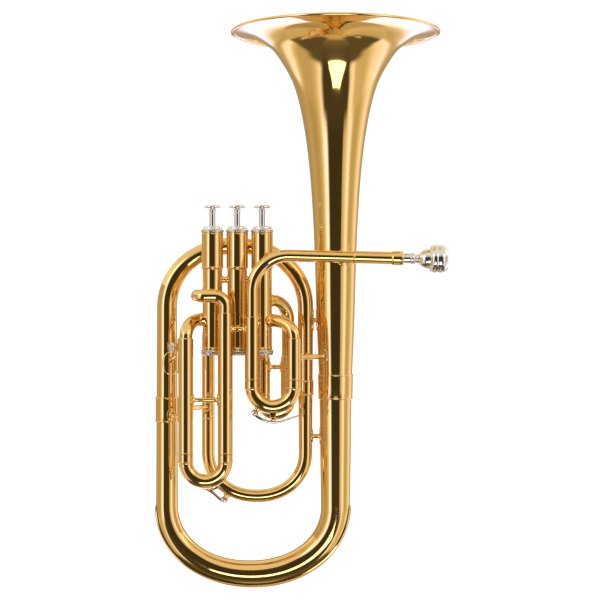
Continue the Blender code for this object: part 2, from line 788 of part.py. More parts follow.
def third_slide():
    """Left leg into the third valve's side, right leg through a hook across the front of the valve."""
    straight = THIRD_ELBOW_Z - THIRD_SLEEVE_END_Z
    left = Centreline((THIRD_LEFT_X, FRONT_Y, THIRD_SLEEVE_END_Z), Z).run(straight)
    entry, out = port(2, math.pi, THIRD_PORT_Z, CASING_R + PORT_RUN / 4)
    left.reach(entry, -out, (0.012, 0.009), 5).run(PORT_RUN)
    seat_on_casing(sleeve("third_sleeve_left", left, straight), 2)
    straight = THIRD_SLEEVE_TOP_Z - THIRD_SLEEVE_END_Z
    right = Centreline((THIRD_RIGHT_X, FRONT_Y, THIRD_SLEEVE_END_Z), Z).run(straight)
    right.run(THIRD_HOOK_Z - THIRD_SLEEVE_TOP_Z - LEG_BEND_R).bend(LEG_BEND_R, math.pi / 2, -X, 3)
    turn = math.tau - HOOK_AZIMUTH
    start, out = port(2, HOOK_AZIMUTH, THIRD_HOOK_Z, CASING_R)
    radius = (start.y - FRONT_Y) / (1 - math.cos(turn))
    right.run(right.points[-1].x - start.x - radius * math.sin(turn)).bend(radius, turn, Y, 5).run(PORT_RUN)
    seat_on_casing(sleeve("third_sleeve_right", right, straight), 2)
    across, leg = THIRD_RIGHT_X - THIRD_LEFT_X, THIRD_TUBE_TOP_Z - THIRD_BOW_Z
    origin = (THIRD_LEFT_X + across / 2, FRONT_Y, THIRD_BOW_Z)
    start = (THIRD_LEFT_X, FRONT_Y, THIRD_TUBE_TOP_Z)
    crook("third_crook", start, across, leg, (-Z, X), THIRD_TUBE_TOP_Z - THIRD_SLEEVE_END_Z, origin)


def first_slide():
    """Behind the first valve: a short leg straight down, a longer one out to the right."""
    straight = FIRST_SLEEVE_TOP_Z - FIRST_SLEEVE_END_Z
    legs = (
        ("first_sleeve_left", FIRST_LEFT_X, FIRST_LEFT_PORT_Z, LEG_BEND_R, 3),
        ("first_sleeve_right", FIRST_RIGHT_X, FIRST_RIGHT_PORT_Z, FIRST_RIGHT_BEND_R, 3),
    )
    for name, x, port_z, bend_r, steps in legs:
        line = Centreline((x, 0, FIRST_SLEEVE_END_Z), Z).run(straight)
        line.run(port_z - bend_r - FIRST_SLEEVE_TOP_Z)
        towards = Vector((VALVE_XS[0] - x, VALVE_Y, 0))
        line.bend(bend_r, math.pi / 2, towards, steps).run(towards.length - bend_r)
        seat_on_casing(sleeve(name, line, straight), 0)
    across, leg = FIRST_RIGHT_X - FIRST_LEFT_X, FIRST_TUBE_TOP_Z - FIRST_BOW_Z
    origin = (FIRST_LEFT_X + across / 2, 0, FIRST_BOW_Z)
    start = (FIRST_LEFT_X, 0, FIRST_TUBE_TOP_Z)
    crook("first_crook", start, across, leg, (-Z, X), FIRST_TUBE_TOP_Z - FIRST_SLEEVE_END_Z, origin)


def second_slide():
    """A short slide behind the second valve, level and pointing away from it."""
    x = VALVE_XS[1]
    for name, z in (("second_sleeve_upper", SECOND_TOP_Z), ("second_sleeve_lower", SECOND_LOW_Z)):
        line = Centreline((x, SECOND_SLEEVE_END_Y, z), -Y).run(SECOND_SLEEVE_END_Y - VALVE_Y)
        seat_on_casing(sleeve(name, line, line.length), 1)
    across = SECOND_TOP_Z - SECOND_LOW_Z
    start = (x, SECOND_SLEEVE_END_Y - SECOND_TUBE_LENGTH, SECOND_TOP_Z)
    origin = (x, SECOND_BOW_Y, (SECOND_TOP_Z + SECOND_LOW_Z) / 2)
    crook("second_crook", start, across, SECOND_BOW_Y - start[1], (Y, -Z), SECOND_TUBE_LENGTH, origin)


def valve_ports(index):
    """Where a casing's four tubes enter: entry, exit, and the slide's two ends, as (azimuth, height)."""
    entry = (ENTRY_AZIMUTH if index == 0 else 0.0, PORT_Z)
    leave = (EXIT_AZIMUTH, LAST_PORT_Z) if index == 2 else (math.pi, PORT_Z)
    slide = (
        ((HIGH_AZIMUTH, FIRST_RIGHT_PORT_Z), (FIRST_AZIMUTH, FIRST_LEFT_PORT_Z)),
        ((math.pi / 2, SECOND_TOP_Z), (math.pi / 2, SECOND_LOW_Z)),
        ((HOOK_AZIMUTH, THIRD_HOOK_Z), (math.pi, THIRD_PORT_Z)),
    )[index]
    return (entry, leave, *slide)


def casing(index):
    """A bored tube, wider at the top, with its ports and the guide bar that the spring stands on."""
    x = VALVE_XS[index]
    profile = [
        (BORE_R, CASING_FOOT_Z),
        (CASING_FOOT_R, CASING_FOOT_Z),
        (CASING_FOOT_R, FOOT_CAP_TOP_Z + SEAT_GAP),
        (CASING_R, FOOT_CAP_TOP_Z + SEAT_GAP + NEAR),
        (CASING_R, CASING_STEP_Z - CASING_SLOPE),
        (CASING_TOP_R, CASING_STEP_Z),
        (CASING_TOP_R, CASING_NECK_Z),
        (CASING_NECK_R, CASING_NECK_Z + NEAR),
        (CASING_NECK_R, CAP_CEILING_Z - SEAT_GAP),
        (BORE_R, CAP_CEILING_Z - SEAT_GAP),
    ]
    body = piece(f"casing_{index + 1}", turned(profile, VALVE_SIDES, base=(x, VALVE_Y, 0)))
    for azimuth, z in valve_ports(index):
        start, out = port(index, azimuth, z, BORE_R * 0.7)
        cut(body, post(start, out, 0, CASING_TOP_R, PORT_R))
    low = PISTON_BODY_Z + GUIDE_LIFT
    half, reach = GUIDE_WIDTH / 2, BORE_R + (CASING_TOP_R - BORE_R) / 3
    join(body, block((x - half, VALVE_Y - reach, low), (x + half, VALVE_Y + reach, low + GUIDE_THICK)))
    if index == 1:
        add_casing_bars(body)


def add_casing_bars(body):
    """Two short bars that tie the middle casing to its neighbours."""
    centre = (VALVE_XS[1], VALVE_Y, CASING_BAR_Z)
    inside = (BORE_R + CASING_R) / 2
    for side in (-1, 1):
        join(body, post(centre, X * side, inside, VALVE_PITCH - inside, CASING_BAR_R, BRACE_SIDES))
    for index in (0, 2):
        seat_on_casing(body, index)


def knuckle(index):
    """The short tube between two casings."""
    line = Centreline((VALVE_XS[index + 1], VALVE_Y, PORT_Z), X).run(VALVE_PITCH)
    body = piece(f"knuckle_{index + 1}_{index + 2}", pipe(line, TUBE_R))
    seat_on_casing(body, index)
    seat_on_casing(body, index + 1)


def piston(index, holder):
    """The ported body, its slotted spring barrel, and the three passages bored through it."""
    centre = Vector((VALVE_XS[index], VALVE_Y, 0))
    barrel_r = PISTON_R - BARREL_WALL
    profile = [
        (0.0, PISTON_FOOT_Z + BARREL_WALL),
        (barrel_r, PISTON_FOOT_Z + BARREL_WALL),
        (barrel_r, PISTON_FOOT_Z),
        (PISTON_R, PISTON_FOOT_Z),
        (PISTON_R, PISTON_TOP_Z),
        (barrel_r, PISTON_TOP_Z),
        (barrel_r, PISTON_BODY_Z),
        (0.0, PISTON_BODY_Z),
    ]
    origin = (centre.x, centre.y, PISTON_FOOT_Z)
    bm = turned(profile, VALVE_SIDES, base=centre)
    body = piece(f"piston_{index + 1}", bm, "silver", origin, holder)
    ports = valve_ports(index)
    passages = (
        (ports[0], ports[1], 0.0),
        (ports[0], ports[2], STROKE),
        (ports[3], ports[1], STROKE),
    )
    for (from_turn, from_z), (to_turn, to_z), lift in passages:
        cut(body, passage(index, from_turn, from_z + lift, to_turn, to_z + lift))
    slot = GUIDE_WIDTH / 2 + GUIDE_CLEAR
    low = PISTON_BODY_Z + GUIDE_LIFT - GUIDE_CLEAR
    high = PISTON_BODY_Z + GUIDE_LIFT + GUIDE_THICK + STROKE + GUIDE_CLEAR
    across = Vector((slot, CASING_R, 0))
    cut(body, block(centre - across + Z * low, centre + across + Z * high))


def passage(index, from_turn, from_z, to_turn, to_z):
    """A bent bore from one port of a piston to another, passing near its axis."""
    start, out = port(index, from_turn, from_z, PISTON_R + 0.002)
    end, away = port(index, to_turn, to_z, PISTON_R + 0.002)
    pull = PISTON_R * 0.95
    line = Centreline(start, -out, side=Z).reach(end, away, (pull, pull), 4)
    return rod(line, plain(line, PORT_R), PASSAGE_SIDES)


def spring_wire(index, holder):
    """Compression spring between the casing's guide bar and the flange of the stem."""
    low = PISTON_BODY_Z + GUIDE_LIFT + GUIDE_THICK + SEAT_GAP + SPRING_WIRE_R
    high = PISTON_TOP_Z - SPRING_WIRE_R
    count = SPRING_TURNS * SPRING_POINTS
    curve = bpy.data.curves.new(f"spring_{index + 1}", "CURVE")
    curve.dimensions = "3D"
    curve.bevel_depth = SPRING_WIRE_R
    curve.bevel_resolution = 0
    curve.use_fill_caps = True
    spline = curve.splines.new("POLY")
    spline.points.add(count)
    for i, point in enumerate(spline.points):
        turn = math.tau * i / SPRING_POINTS
        point.co = (SPRING_R * math.cos(turn), SPRING_R * math.sin(turn), (high - low) * i / count, 1)
    curve.materials.append(finish("steel"))
    made = bpy.data.objects.new(f"spring_{index + 1}", curve)
    bpy.context.scene.collection.objects.link(made)
    made.parent = holder
    made.location = Vector((VALVE_XS[index], VALVE_Y, low)) - holder.location


def stem(index, holder):
    """The flange that closes the spring barrel, and the stem through the top cap."""
    low, top = PISTON_TOP_Z + SEAT_GAP, BUTTON_TOP_Z - BUTTON_THICK - SEAT_GAP
    profile = [
        (0.0, low),
        (STEM_FLANGE_R, low),
        (STEM_FLANGE_R, low + STEM_FLANGE),
        (STEM_R + 0.0012, low + STEM_FLANGE + 0.0008),
        (STEM_R, low + STEM_FLANGE + 0.0010),
        (STEM_R, top),
        (0.0, top),
    ]
    base = (VALVE_XS[index], VALVE_Y, 0)
    piece(f"stem_{index + 1}", turned(profile, 14, base=base), "silver", (base[0], base[1], low), holder)


def button(index, holder):
    """A flat finger button with a rounded edge and a shallow dish."""
    high, low = BUTTON_TOP_Z, BUTTON_TOP_Z - BUTTON_THICK
    profile = [
        (0.0, low),
        (STEM_R + 0.0010, low),
        (BUTTON_R * 0.93, low + BUTTON_THICK * 0.30),
        (BUTTON_R, low + BUTTON_THICK * 0.50),
        (BUTTON_R, high - BUTTON_THICK * 0.22),
        (BUTTON_R * 0.92, high),
        (BUTTON_R * 0.80, high),
        (0.0, high - BUTTON_THICK * 0.12),
    ]
    base = (VALVE_XS[index], VALVE_Y, 0)
    piece(f"button_{index + 1}", turned(profile, 16, base=base), "silver", (base[0], base[1], low), holder)


def top_cap(index):
    """A domed screw cap with a wide flange, hollow above the stem's flange and open for the stem."""
    hole = STEM_R + STEM_FIT
    skirt = CASING_NECK_R + SEAT_GAP
    recess = CAP_DOME_R - CAP_WALL
    low = CASING_NECK_Z + SEAT_GAP
    profile = [
        (hole, CAP_RECESS_Z),
        (recess, CAP_RECESS_Z),
        (recess, CAP_CEILING_Z),
        (skirt, CAP_CEILING_Z),
        (skirt, low),
        (CAP_R, low),
        (CAP_R, low + CAP_FLANGE),
        (CAP_DOME_R, low + CAP_FLANGE + CAP_WALL),
        (CAP_DOME_R * 0.94, CAP_TOP_Z - CAP_WALL),
        (CAP_DOME_R * 0.70, CAP_TOP_Z),
        (hole, CAP_TOP_Z),
    ]
    base = (VALVE_XS[index], VALVE_Y, 0)
    piece(f"top_cap_{index + 1}", turned(profile, VALVE_SIDES, base=base), "silver")


def bottom_cap(index):
    """A shallow screw cap over the foot of the casing."""
    skirt = CASING_FOOT_R + SEAT_GAP
    floor = FOOT_CAP_Z + FOOT_CAP_FLOOR
    profile = [
        (0.0, FOOT_CAP_Z),
        (CAP_R * 0.84, FOOT_CAP_Z),
        (CAP_R, floor),
        (CAP_R, FOOT_CAP_TOP_Z),
        (skirt, FOOT_CAP_TOP_Z),
        (skirt, floor),
        (0.0, floor),
    ]
    base = (VALVE_XS[index], VALVE_Y, 0)
    piece(f"bottom_cap_{index + 1}", turned(profile, VALVE_SIDES, base=base), "silver")


def key_seat(line, first, last, shares, tube_r, pivot_height):
    """Where a water key sits on a bow: the nipple's foot, the pivot, and the way out of the bow at each."""
    (mouth, out), (foot, pivot_out) = [
        (point, up if up.z < 0 else -up)
        for point, _, up in (line.at(first + (last - first) * share) for share in shares)
    ]
    return {
        "mouth": mouth + out * tube_r,
        "out": out,
        "foot": foot,
        "pivot": foot + pivot_out * (tube_r + pivot_height),
        "pivot_out": pivot_out,
        "tube_r": tube_r,
    }


def lug(seat, side):
    """One ear of the saddle: a tapered plate from the tube to the pin."""
    out, pivot = seat["pivot_out"], seat["pivot"]
    across = Y.cross(out)
    inner = pivot.y + side * (KEY_WIDTH / 2 + KEY_FIT)
    base = seat["foot"] + out * (seat["tube_r"] - KEY_ROOT)
    outline = [
        base - across * KEY_LUG_R * 1.5,
        pivot - across * KEY_LUG_R * 0.8,
        pivot + out * KEY_LUG_R * 0.8,
        pivot + across * KEY_LUG_R * 0.8,
        base + across * KEY_LUG_R * 1.5,
    ]
    return skin([[Vector((p.x, y, p.z)) for p in outline] for y in (inner, inner + side * KEY_LUG)])


def add_key_saddle(body, seat):
    """Two ears, the pin through them and the nipple that the cork closes."""
    for side in (-1, 1):
        join(body, lug(seat, side))
    half = KEY_WIDTH / 2 + KEY_FIT + KEY_LUG * 0.7
    join(body, post(seat["pivot"], Y, -half, half, KEY_PIN_R, 8))
    join(body, post(seat["mouth"], seat["out"], -KEY_ROOT, NIPPLE_HEIGHT, NIPPLE_R, BRACE_SIDES))
    cut(body, post(seat["mouth"], seat["out"], -KEY_ROOT * 2, NIPPLE_HEIGHT * 2, NIPPLE_R * 0.5, 8))


def water_key(name, seat, finger, holder=None):
    """The sprung lever: hub on the pin, cork cup over the nipple and a curved finger end."""
    pivot, out = seat["pivot"], seat["out"]
    cork = seat["mouth"] + out * (NIPPLE_HEIGHT + SEAT_GAP)
    away = (pivot - seat["mouth"]).normalized()
    start = cork + out * (CORK_THICK + KEY_THICK * 0.4) - away * KEY_CUP_THICK
    rest = pivot + seat["pivot_out"] * KEY_HUB_R
    end = pivot + Vector((finger[0], 0, finger[1]))
    line = Centreline(start, away)
    for goal, heading in ((rest, end - start), (end, end - rest)):
        pull = (goal - line.points[-1]).length * KEY_PULL
        line.reach(goal, heading, (pull, pull), 4)
    section = [(KEY_WIDTH / 2 * u, KEY_THICK / 2 * v) for u, v in ((-1, -1), (1, -1), (1, 1), (-1, 1))]
    body = piece(name, skin([line.place(knot, section) for knot in line.knots]), "silver", pivot, holder)
    half = KEY_WIDTH / 2
    join(body, post(pivot, Y, -half, half, KEY_HUB_R, BRACE_SIDES))
    join(body, post(cork, out, 0, CORK_THICK + KEY_CUP_THICK, CORK_R, BRACE_SIDES))
    cut(body, post(pivot, Y, -half * 2, half * 2, KEY_PIN_R + KEY_FIT, 8))


def brace(name, start, end, tall=(1.0, 1.0), waist=BRACE_WAIST_R, foot=BRACE_FOOT_R, end_axis=Z):
    """A stay between two tubes, given as (point on the axis, radius), with a foot cut to fit each tube."""
    (start, start_r), (end, end_r) = start, end
    span = (end - start).length
    gap = span - start_r - end_r
    lip, taper = min(BRACE_FOOT_LIP, gap * 0.2), min(BRACE_FOOT_TAPER, gap * 0.25)
    inside_start, inside_end = [math.sqrt(r * r - foot * foot) - 0.001 for r in (start_r, end_r)]
    neck = min(BRACE_NECK_R, waist)
    stations = [
        (inside_start, foot, tall[0]),
        (start_r + lip, foot, tall[0]),
        (start_r + lip + taper, neck, 1.0),
        (start_r + gap / 2, waist, 1.0),
        (span - end_r - lip - taper, neck, 1.0),
        (span - end_r - lip, foot, tall[1]),
        (span - inside_end, foot, tall[1]),
    ]
    line = Centreline(start, end - start).run(span)
    _, side, up = line.at(0)
    upright = abs(up.z) > abs(side.z)
    rings = []
    for distance, radius, stretch in stations:
        wide, high = (1.0, stretch) if upright else (stretch, 1.0)
        section = [(u * wide, v * high) for u, v in circle(radius, BRACE_SIDES)]
        rings.append(line.place(distance, section))
    body = piece(name, skin(rings))
    reach = foot * max(tall) + 0.004
    for centre, radius, axis in ((start, start_r, Z), (end, end_r, end_axis)):
        cut(body, post(centre, axis, -reach, reach, radius + SEAT_GAP, BRACE_SEAT_SIDES))
    return body


def braces():
    """Stays between the tubes, named from what they join. Each is level, at its own height."""
    def slide(x, z, radius=SLEEVE_R):
        return Vector((x, FRONT_Y, z)), radius

    def tube_at(x, z, radius):
        return Vector((x, 0, z)), radius

    def to_bell(z, above=0.0):
        return tube_at(BELL_X, z, bell_radius(z + above))

    foot = PIPE_BASE + PIPE_AXIS * PIPE_BRACE_X
    z = foot.z
    root = (foot, PIPE_R)
    brace("bell_receiver_brace", to_bell(z, 0.010), root, (2.6, 1.0), waist=0.0026, end_axis=PIPE_AXIS)
    z = ARCH_BRACE_Z
    brace("bell_arch_brace", tube_at(INNER_X, z, INNER_TOP_R), to_bell(z, 0.012), (2.8, 2.8))
    z = SLIDE_BRACE_Z
    brace("bell_slide_brace", slide(MAIN_RIGHT_X, z), to_bell(z, BRACE_FOOT_R))
    z = BOW_BRACE_Z
    share = (z - BOW_TOP_Z) / (BELL_FOOT_Z - BOW_TOP_Z)
    bow_r = BOW_BELL_R + (BELL_FOOT_R - BOW_BELL_R) * share
    brace("bell_bow_brace", tube_at(INNER_X, z, INNER_JOINT_R), tube_at(BELL_X, z, bow_r + NEAR), (1.6, 1.6))
    z = OUTER_BRACE_Z
    outer = OUTER_JOINT_R + SEAT_GAP + FERRULE_WALL + NEAR
    brace("outer_tube_brace", tube_at(OUTER_X, z, outer), slide(THIRD_LEFT_X, z), foot=SMALL_FOOT_R)
    z = LEG_BRACE_Z
    brace("inner_leg_brace", slide(THIRD_LEFT_X, z), tube_at(INNER_LEFT_X, z, TUBE_R), foot=SMALL_FOOT_R)
    z = THIRD_BRACE_Z
    brace("third_slide_brace", slide(THIRD_LEFT_X, z), slide(THIRD_RIGHT_X, z), waist=0.0027)
    z = FRONT_BRACE_Z
    brace("front_slide_brace", slide(THIRD_RIGHT_X, z), slide(MAIN_LEFT_X, z))
    z = FIRST_BRACE_Z
    legs = tube_at(FIRST_LEFT_X, z, SLEEVE_R), tube_at(FIRST_RIGHT_X, z, SLEEVE_R)
    brace("first_slide_brace", *legs)


def lyre_holder():
    """A bored socket on a slanting stay between the outer tube and the third slide, with its thumbscrew."""
    outer = Vector((OUTER_X, 0, LYRE_OUTER_Z))
    slide = Vector((THIRD_LEFT_X, FRONT_Y, LYRE_SLIDE_Z))
    body = brace("lyre_socket", (outer, ARCH_LEFT_R + 0.0003), (slide, SLEEVE_R), (1.6, 1.6), LYRE_WAIST_R)
    share = (LYRE_X - outer.x) / (slide.x - outer.x)
    centre = outer.lerp(slide, share)
    join(body, post((centre.x, centre.y, 0), Z, LYRE_FOOT_Z, LYRE_TOP_Z, LYRE_R))
    across = Vector((-math.sin(LYRE_TURN), -math.cos(LYRE_TURN), 0))
    bore = (centre.x, centre.y, 0)
    cut(body, post(bore, Z, LYRE_FOOT_Z + 0.003, LYRE_TOP_Z + 0.002, LYRE_BORE_R, BRACE_SIDES))
    screw = Vector((centre.x, centre.y, LYRE_SCREW_Z))
    cut(body, post(screw, across, 0.0, LYRE_R + 0.002, LYRE_SCREW_R + SEAT_GAP, 8))
    head = LYRE_HEAD_REACH
    profile = [
        (0.0, LYRE_R - 0.0012),
        (LYRE_SCREW_R, LYRE_R - 0.0012),
        (LYRE_SCREW_R, head - LYRE_HEAD_THICK),
        (LYRE_HEAD_R * 0.9, head - LYRE_HEAD_THICK),
        (LYRE_HEAD_R, head - LYRE_HEAD_THICK / 2),
        (LYRE_HEAD_R * 0.9, head),
        (0.0, head),
    ]
    piece("lyre_screw", turned(profile, 12, base=screw, axis=across), "silver", screw + across * head)


def main():
    for old in list(bpy.data.objects):
        bpy.data.objects.remove(old, do_unlink=True)
    bell()
    foot_r = bell_radius(BELL_FOOT_Z + FERRULE_LENGTH / 2)
    ferrule("bell_ferrule", BELL_X, BELL_FOOT_Z, BELL_FOOT_R, foot_r, BELL_SIDES)
    bottom_bow()
    bow_guard()
    ferrule("bow_ferrule", OUTER_X, OUTER_JOINT_Z, OUTER_JOINT_R + NEAR, OUTER_JOINT_R)
    arch_branch()
    small = FERRULE_LENGTH * 0.6
    ferrule("arch_ferrule", INNER_X, INNER_JOINT_Z, INNER_JOINT_R, INNER_JOINT_R + NEAR, length=small)
    inner_bow()
    leadpipe()
    receiver()
    mouthpiece()
    main_slide()
    third_slide()
    first_slide()
    second_slide()
    for index in range(3):
        holder = travel(f"valve_{index + 1}_travel", (VALVE_XS[index], VALVE_Y, PISTON_FOOT_Z))
        casing(index)
        piston(index, holder)
        spring_wire(index, holder)
        stem(index, holder)
        button(index, holder)
        top_cap(index)
        bottom_cap(index)
    for index in range(2):
        knuckle(index)
    braces()
    lyre_holder()


main()
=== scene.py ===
"""Alto horn: fine tubes, caps, keys and stays over the solids of one shared frame, in metres."""

import json
from math import atan2, copysign, cos, pi, radians, sin, sqrt, tau

import bmesh
import bpy
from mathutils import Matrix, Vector


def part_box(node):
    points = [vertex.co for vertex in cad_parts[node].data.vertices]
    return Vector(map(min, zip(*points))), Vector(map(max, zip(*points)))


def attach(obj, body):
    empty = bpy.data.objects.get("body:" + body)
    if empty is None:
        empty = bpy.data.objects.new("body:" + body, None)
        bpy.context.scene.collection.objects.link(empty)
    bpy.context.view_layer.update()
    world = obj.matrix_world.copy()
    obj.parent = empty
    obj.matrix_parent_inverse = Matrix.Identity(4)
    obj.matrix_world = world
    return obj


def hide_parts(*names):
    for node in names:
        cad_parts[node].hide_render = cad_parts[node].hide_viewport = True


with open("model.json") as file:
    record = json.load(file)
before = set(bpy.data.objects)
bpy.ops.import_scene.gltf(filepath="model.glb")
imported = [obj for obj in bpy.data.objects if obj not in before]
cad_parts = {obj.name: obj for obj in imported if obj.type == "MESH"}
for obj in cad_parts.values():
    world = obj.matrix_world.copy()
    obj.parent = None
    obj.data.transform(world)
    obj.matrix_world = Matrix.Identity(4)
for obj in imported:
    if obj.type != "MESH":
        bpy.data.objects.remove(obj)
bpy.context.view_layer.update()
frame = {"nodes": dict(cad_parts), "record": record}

X = Vector((1, 0, 0))
Y = Vector((0, 1, 0))
Z = Vector((0, 0, 1))
RECORD = frame["record"]
BODY_OF = {node: body for body, nodes in RECORD["behaviour"]["bodies"].items() for node in nodes}
SLOT_OF = {part["node"]: part["material_slot"] for part in RECORD["subparts"]}
JOINTS = {joint["name"]: joint for joint in RECORD["behaviour"]["joints"]}


def middle(node):
    low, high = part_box(node)
    return (low + high) / 2


# Mesh fineness
NEAR = 0.0001
TUBE_SIDES = 48
WIDE_SIDES = 80
BELL_SIDES = 160
BEND_STEPS = 30
KNURLS = 56

# Places read from the frame
BELL_X = middle("bell").x
RIM_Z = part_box("bell")[1].z
BELL_FOOT_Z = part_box("bell")[0].z
VALVE_XS = [middle(f"casing_{i}").x for i in (1, 2, 3)]
VALVE_Y = middle("casing_1").y
FRONT_Y = middle("main_sleeve_left").y
OUTER_X = middle("bow_ferrule").x
INNER_X = middle("arch_ferrule").x
MAIN_LEFT_X = middle("main_sleeve_left").x

# Slides: their legs, elbows, the tops of their tubes, and their bows
MAIN_RIGHT_X = 0.0414
MAIN_ELBOW_Z = 0.2430
MAIN_ELBOW_PULL = (0.012, 0.012)
MAIN_TUBE_TOP_Z = 0.2390
MAIN_BOW_Z = 0.1981
THIRD_LEFT_X = -0.0606
THIRD_RIGHT_X = -0.0234
THIRD_ELBOW_Z = 0.2430
THIRD_ELBOW_PULL = (0.012, 0.009)
THIRD_SLEEVE_TOP_Z = 0.2670
THIRD_TUBE_TOP_Z = 0.2380
THIRD_BOW_Z = 0.1267
FIRST_SLEEVE_TOP_Z = 0.2240
FIRST_TUBE_TOP_Z = 0.2200
FIRST_BOW_Z = 0.1820

# Tubing
WALL = 0.0007
SEAT_GAP = 0.0003
TUBE_R = 0.0061
SLEEVE_BORE = TUBE_R + 0.0003
SLEEVE_R = SLEEVE_BORE + WALL
CROOK_BOW_R = 0.0068
RING_PROUD = 0.0003
RING_LENGTH = 0.0012
SLIDE_COLLAR = 0.0080
SLEEVE_BORE_DEPTH = 0.0200
FERRULE_WALL = 0.0009

# Bell and bottom bow
BELL_WALL = 0.0008
BELL_FOOT_R = 0.0157
RIM_BEAD_R = 0.0015
BELL_FLARE = [  # depth under the rim, outer radius
    (0.0016, 0.0988), (0.0019, 0.0945), (0.0030, 0.0880), (0.0051, 0.0805), (0.0082, 0.0742),
    (0.0118, 0.0685), (0.0165, 0.0622), (0.0220, 0.0575), (0.0290, 0.0527), (0.0380, 0.0472),
    (0.0500, 0.0413), (0.0660, 0.0362), (0.0920, 0.0307), (0.1300, 0.0256), (0.1900, 0.0213),
    (0.2840, 0.0182), (0.3444, BELL_FOOT_R),
]
BOW_TOP_Z = 0.0807
BOW_POWER = 2.1
BOW_FOOT_R = 0.0128
GUARD_FOOT_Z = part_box("bow_guard")[0].z
BOW_BELL_R = 0.0142
BOW_OUTER_R = 0.0107
GUARD_THICK = 0.0012
GUARD_R = BOW_FOOT_R + SEAT_GAP + GUARD_THICK
GUARD_HALF_ANGLE = radians(50)
GUARD_TIP_ANGLE = radians(24)
OUTER_JOINT_Z = 0.1734
OUTER_JOINT_R = 0.0102

# Arch and inner bow
ARCH_SPRING_Z = 0.2718
ARCH_RISE = 0.0602
ARCH_LEFT_R = 0.0097
ARCH_TOP_R = 0.0081
INNER_TOP_R = 0.0075
INNER_JOINT_Z = 0.1947
INNER_JOINT_R = 0.0070
INNER_LEFT_X = -0.0416
INNER_BOW_Z = 0.1322
INNER_BOW_DROP = 0.0427
INNER_BOW_POWER = 2.15
INNER_BOW_R = 0.0065
FERRULE_LENGTH = 0.0240
ARCH_FERRULE_LENGTH = FERRULE_LENGTH * 0.6

# Valves
CASING_R = 0.0094
CASING_TOP_R = 0.0103
BORE_R = 0.0085
CASING_FOOT_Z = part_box("casing_1")[0].z
CASING_STEP_Z = 0.3098
CASING_TOP_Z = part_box("casing_1")[1].z
PORT_Z = 0.2600
LAST_PORT_Z = 0.2515
PORT_RUN = 0.0040
LEG_BEND_R = 0.0100
CASING_BAR_Z = 0.2990
STEM_R = 0.0029
FIRST_LEGS = ((0.0357, 0.2788, 0.0190), (0.0114, 0.2620, 0.0100))  # x, port height, bend radius
SECOND_PORTS = (0.2893, 0.2650)
SECOND_BOW_Y = 0.0200
SECOND_ENGAGED = 0.0200
THIRD_PORT_Z = 0.2610
THIRD_HOOK_Z = 0.2834
ENTRY_AZIMUTH = radians(-25)
HOOK_AZIMUTH = radians(200)
EXIT_AZIMUTH = atan2(-VALVE_Y, INNER_LEFT_X - VALVE_XS[2])

# Leadpipe and mouthpiece, measured along a pipe that slopes down to the right
PIPE_R = 0.0055
PIPE_SLOPE = radians(1.5)
PIPE_BASE = Vector((0, FRONT_Y, 0.3226))
PIPE_AXIS = Vector((cos(PIPE_SLOPE), 0, -sin(PIPE_SLOPE)))
PIPE_BEND_R = 0.0340
PIPE_END = 0.0985
RECEIVER_END = 0.1451
MOUTHPIECE_RIM = 0.1872
PIPE_BRACE = 0.0945
SHANK_RINGS = (  # radius, distance behind the rim, as in the next three
    (0.0049, 0.0358), (0.0047, 0.0353), (0.0055, 0.0349), (0.0055, 0.0332), (0.0050, 0.0327),
    (0.0054, 0.0322), (0.0050, 0.0314), (0.0041, 0.0306), (0.0040, 0.0296), (0.0047, 0.0290),
    (0.0048, 0.0284), (0.0043, 0.0280),
)
CUP_BACK = (
    (0.0043, 0.0280), (0.0066, 0.0262), (0.0082, 0.0241), (0.0091, 0.0220), (0.0096, 0.0195),
    (0.0099, 0.0172),
)
RIM_SIDE = (
    (0.0103, 0.0169), (0.0121, 0.0161), (0.0134, 0.0146), (0.01388, 0.0128), (0.0137, 0.0110),
    (0.0133, 0.0100),
)
CUP_FACE = (
    (0.0134, 0.0094), (0.01375, 0.0080), (0.01365, 0.0060), (0.0130, 0.0040), (0.0117, 0.0022),
    (0.0104, 0.0009), (0.0093, 0.0003), (0.0086, 0.0010), (0.0082, 0.0040), (0.0074, 0.0100),
    (0.0056, 0.0160), (0.0034, 0.0205), (0.0023, 0.0232), (0.0023, 0.0262), (0.0030, 0.0400),
)

# Water keys
KEY_PIN_R = 0.0009
KEY_HUB_R = 0.0023
KEY_HEAD_R = 0.0022
KEY_WIDTH = 0.0040
KEY_THICK = 0.0020
KEY_PULL = 0.4
KEY_SAG = 0.0006
KEY_SPOON = 0.42
KEY_SPOON_TURN = 0.62
KEY_EDGE_POWER = 0.55
KEY_LUG = 0.0012
KEY_LUG_R = 0.0022
NIPPLE_R = 0.0030
NIPPLE_HEIGHT = 0.0030
CORK_R = 0.0036
CORK_THICK = 0.0022
KEY_CUP_THICK = 0.0012
MAIN_KEY_SHARES = (0.308, 0.50)
MAIN_KEY_FINGER = (0.0241, 0.0033)
BOW_KEY_SHARES = (0.69, 0.78)
BOW_KEY_FINGER = (-0.0099, 0.0004)

# Lyre holder
LYRE_X = -0.0681
LYRE_R = 0.0034
LYRE_BORE_R = 0.0025
LYRE_FOOT_Z = 0.2100
LYRE_TOP_Z = 0.2430
LYRE_OUTER_Z = 0.2185
LYRE_SLIDE_Z = 0.2330
LYRE_SCREW_Z = 0.2345
LYRE_SCREW_R = 0.0014
LYRE_HEAD_R = 0.0048
LYRE_HEAD_THICK = 0.0022
LYRE_HEAD_REACH = 0.0092
LYRE_TURN = radians(54)

# Braces
BRACE_FOOT_R = 0.0030
BRACE_NECK_R = 0.0022
BRACE_WAIST_R = 0.0026
PLATE_THICK = 0.0006

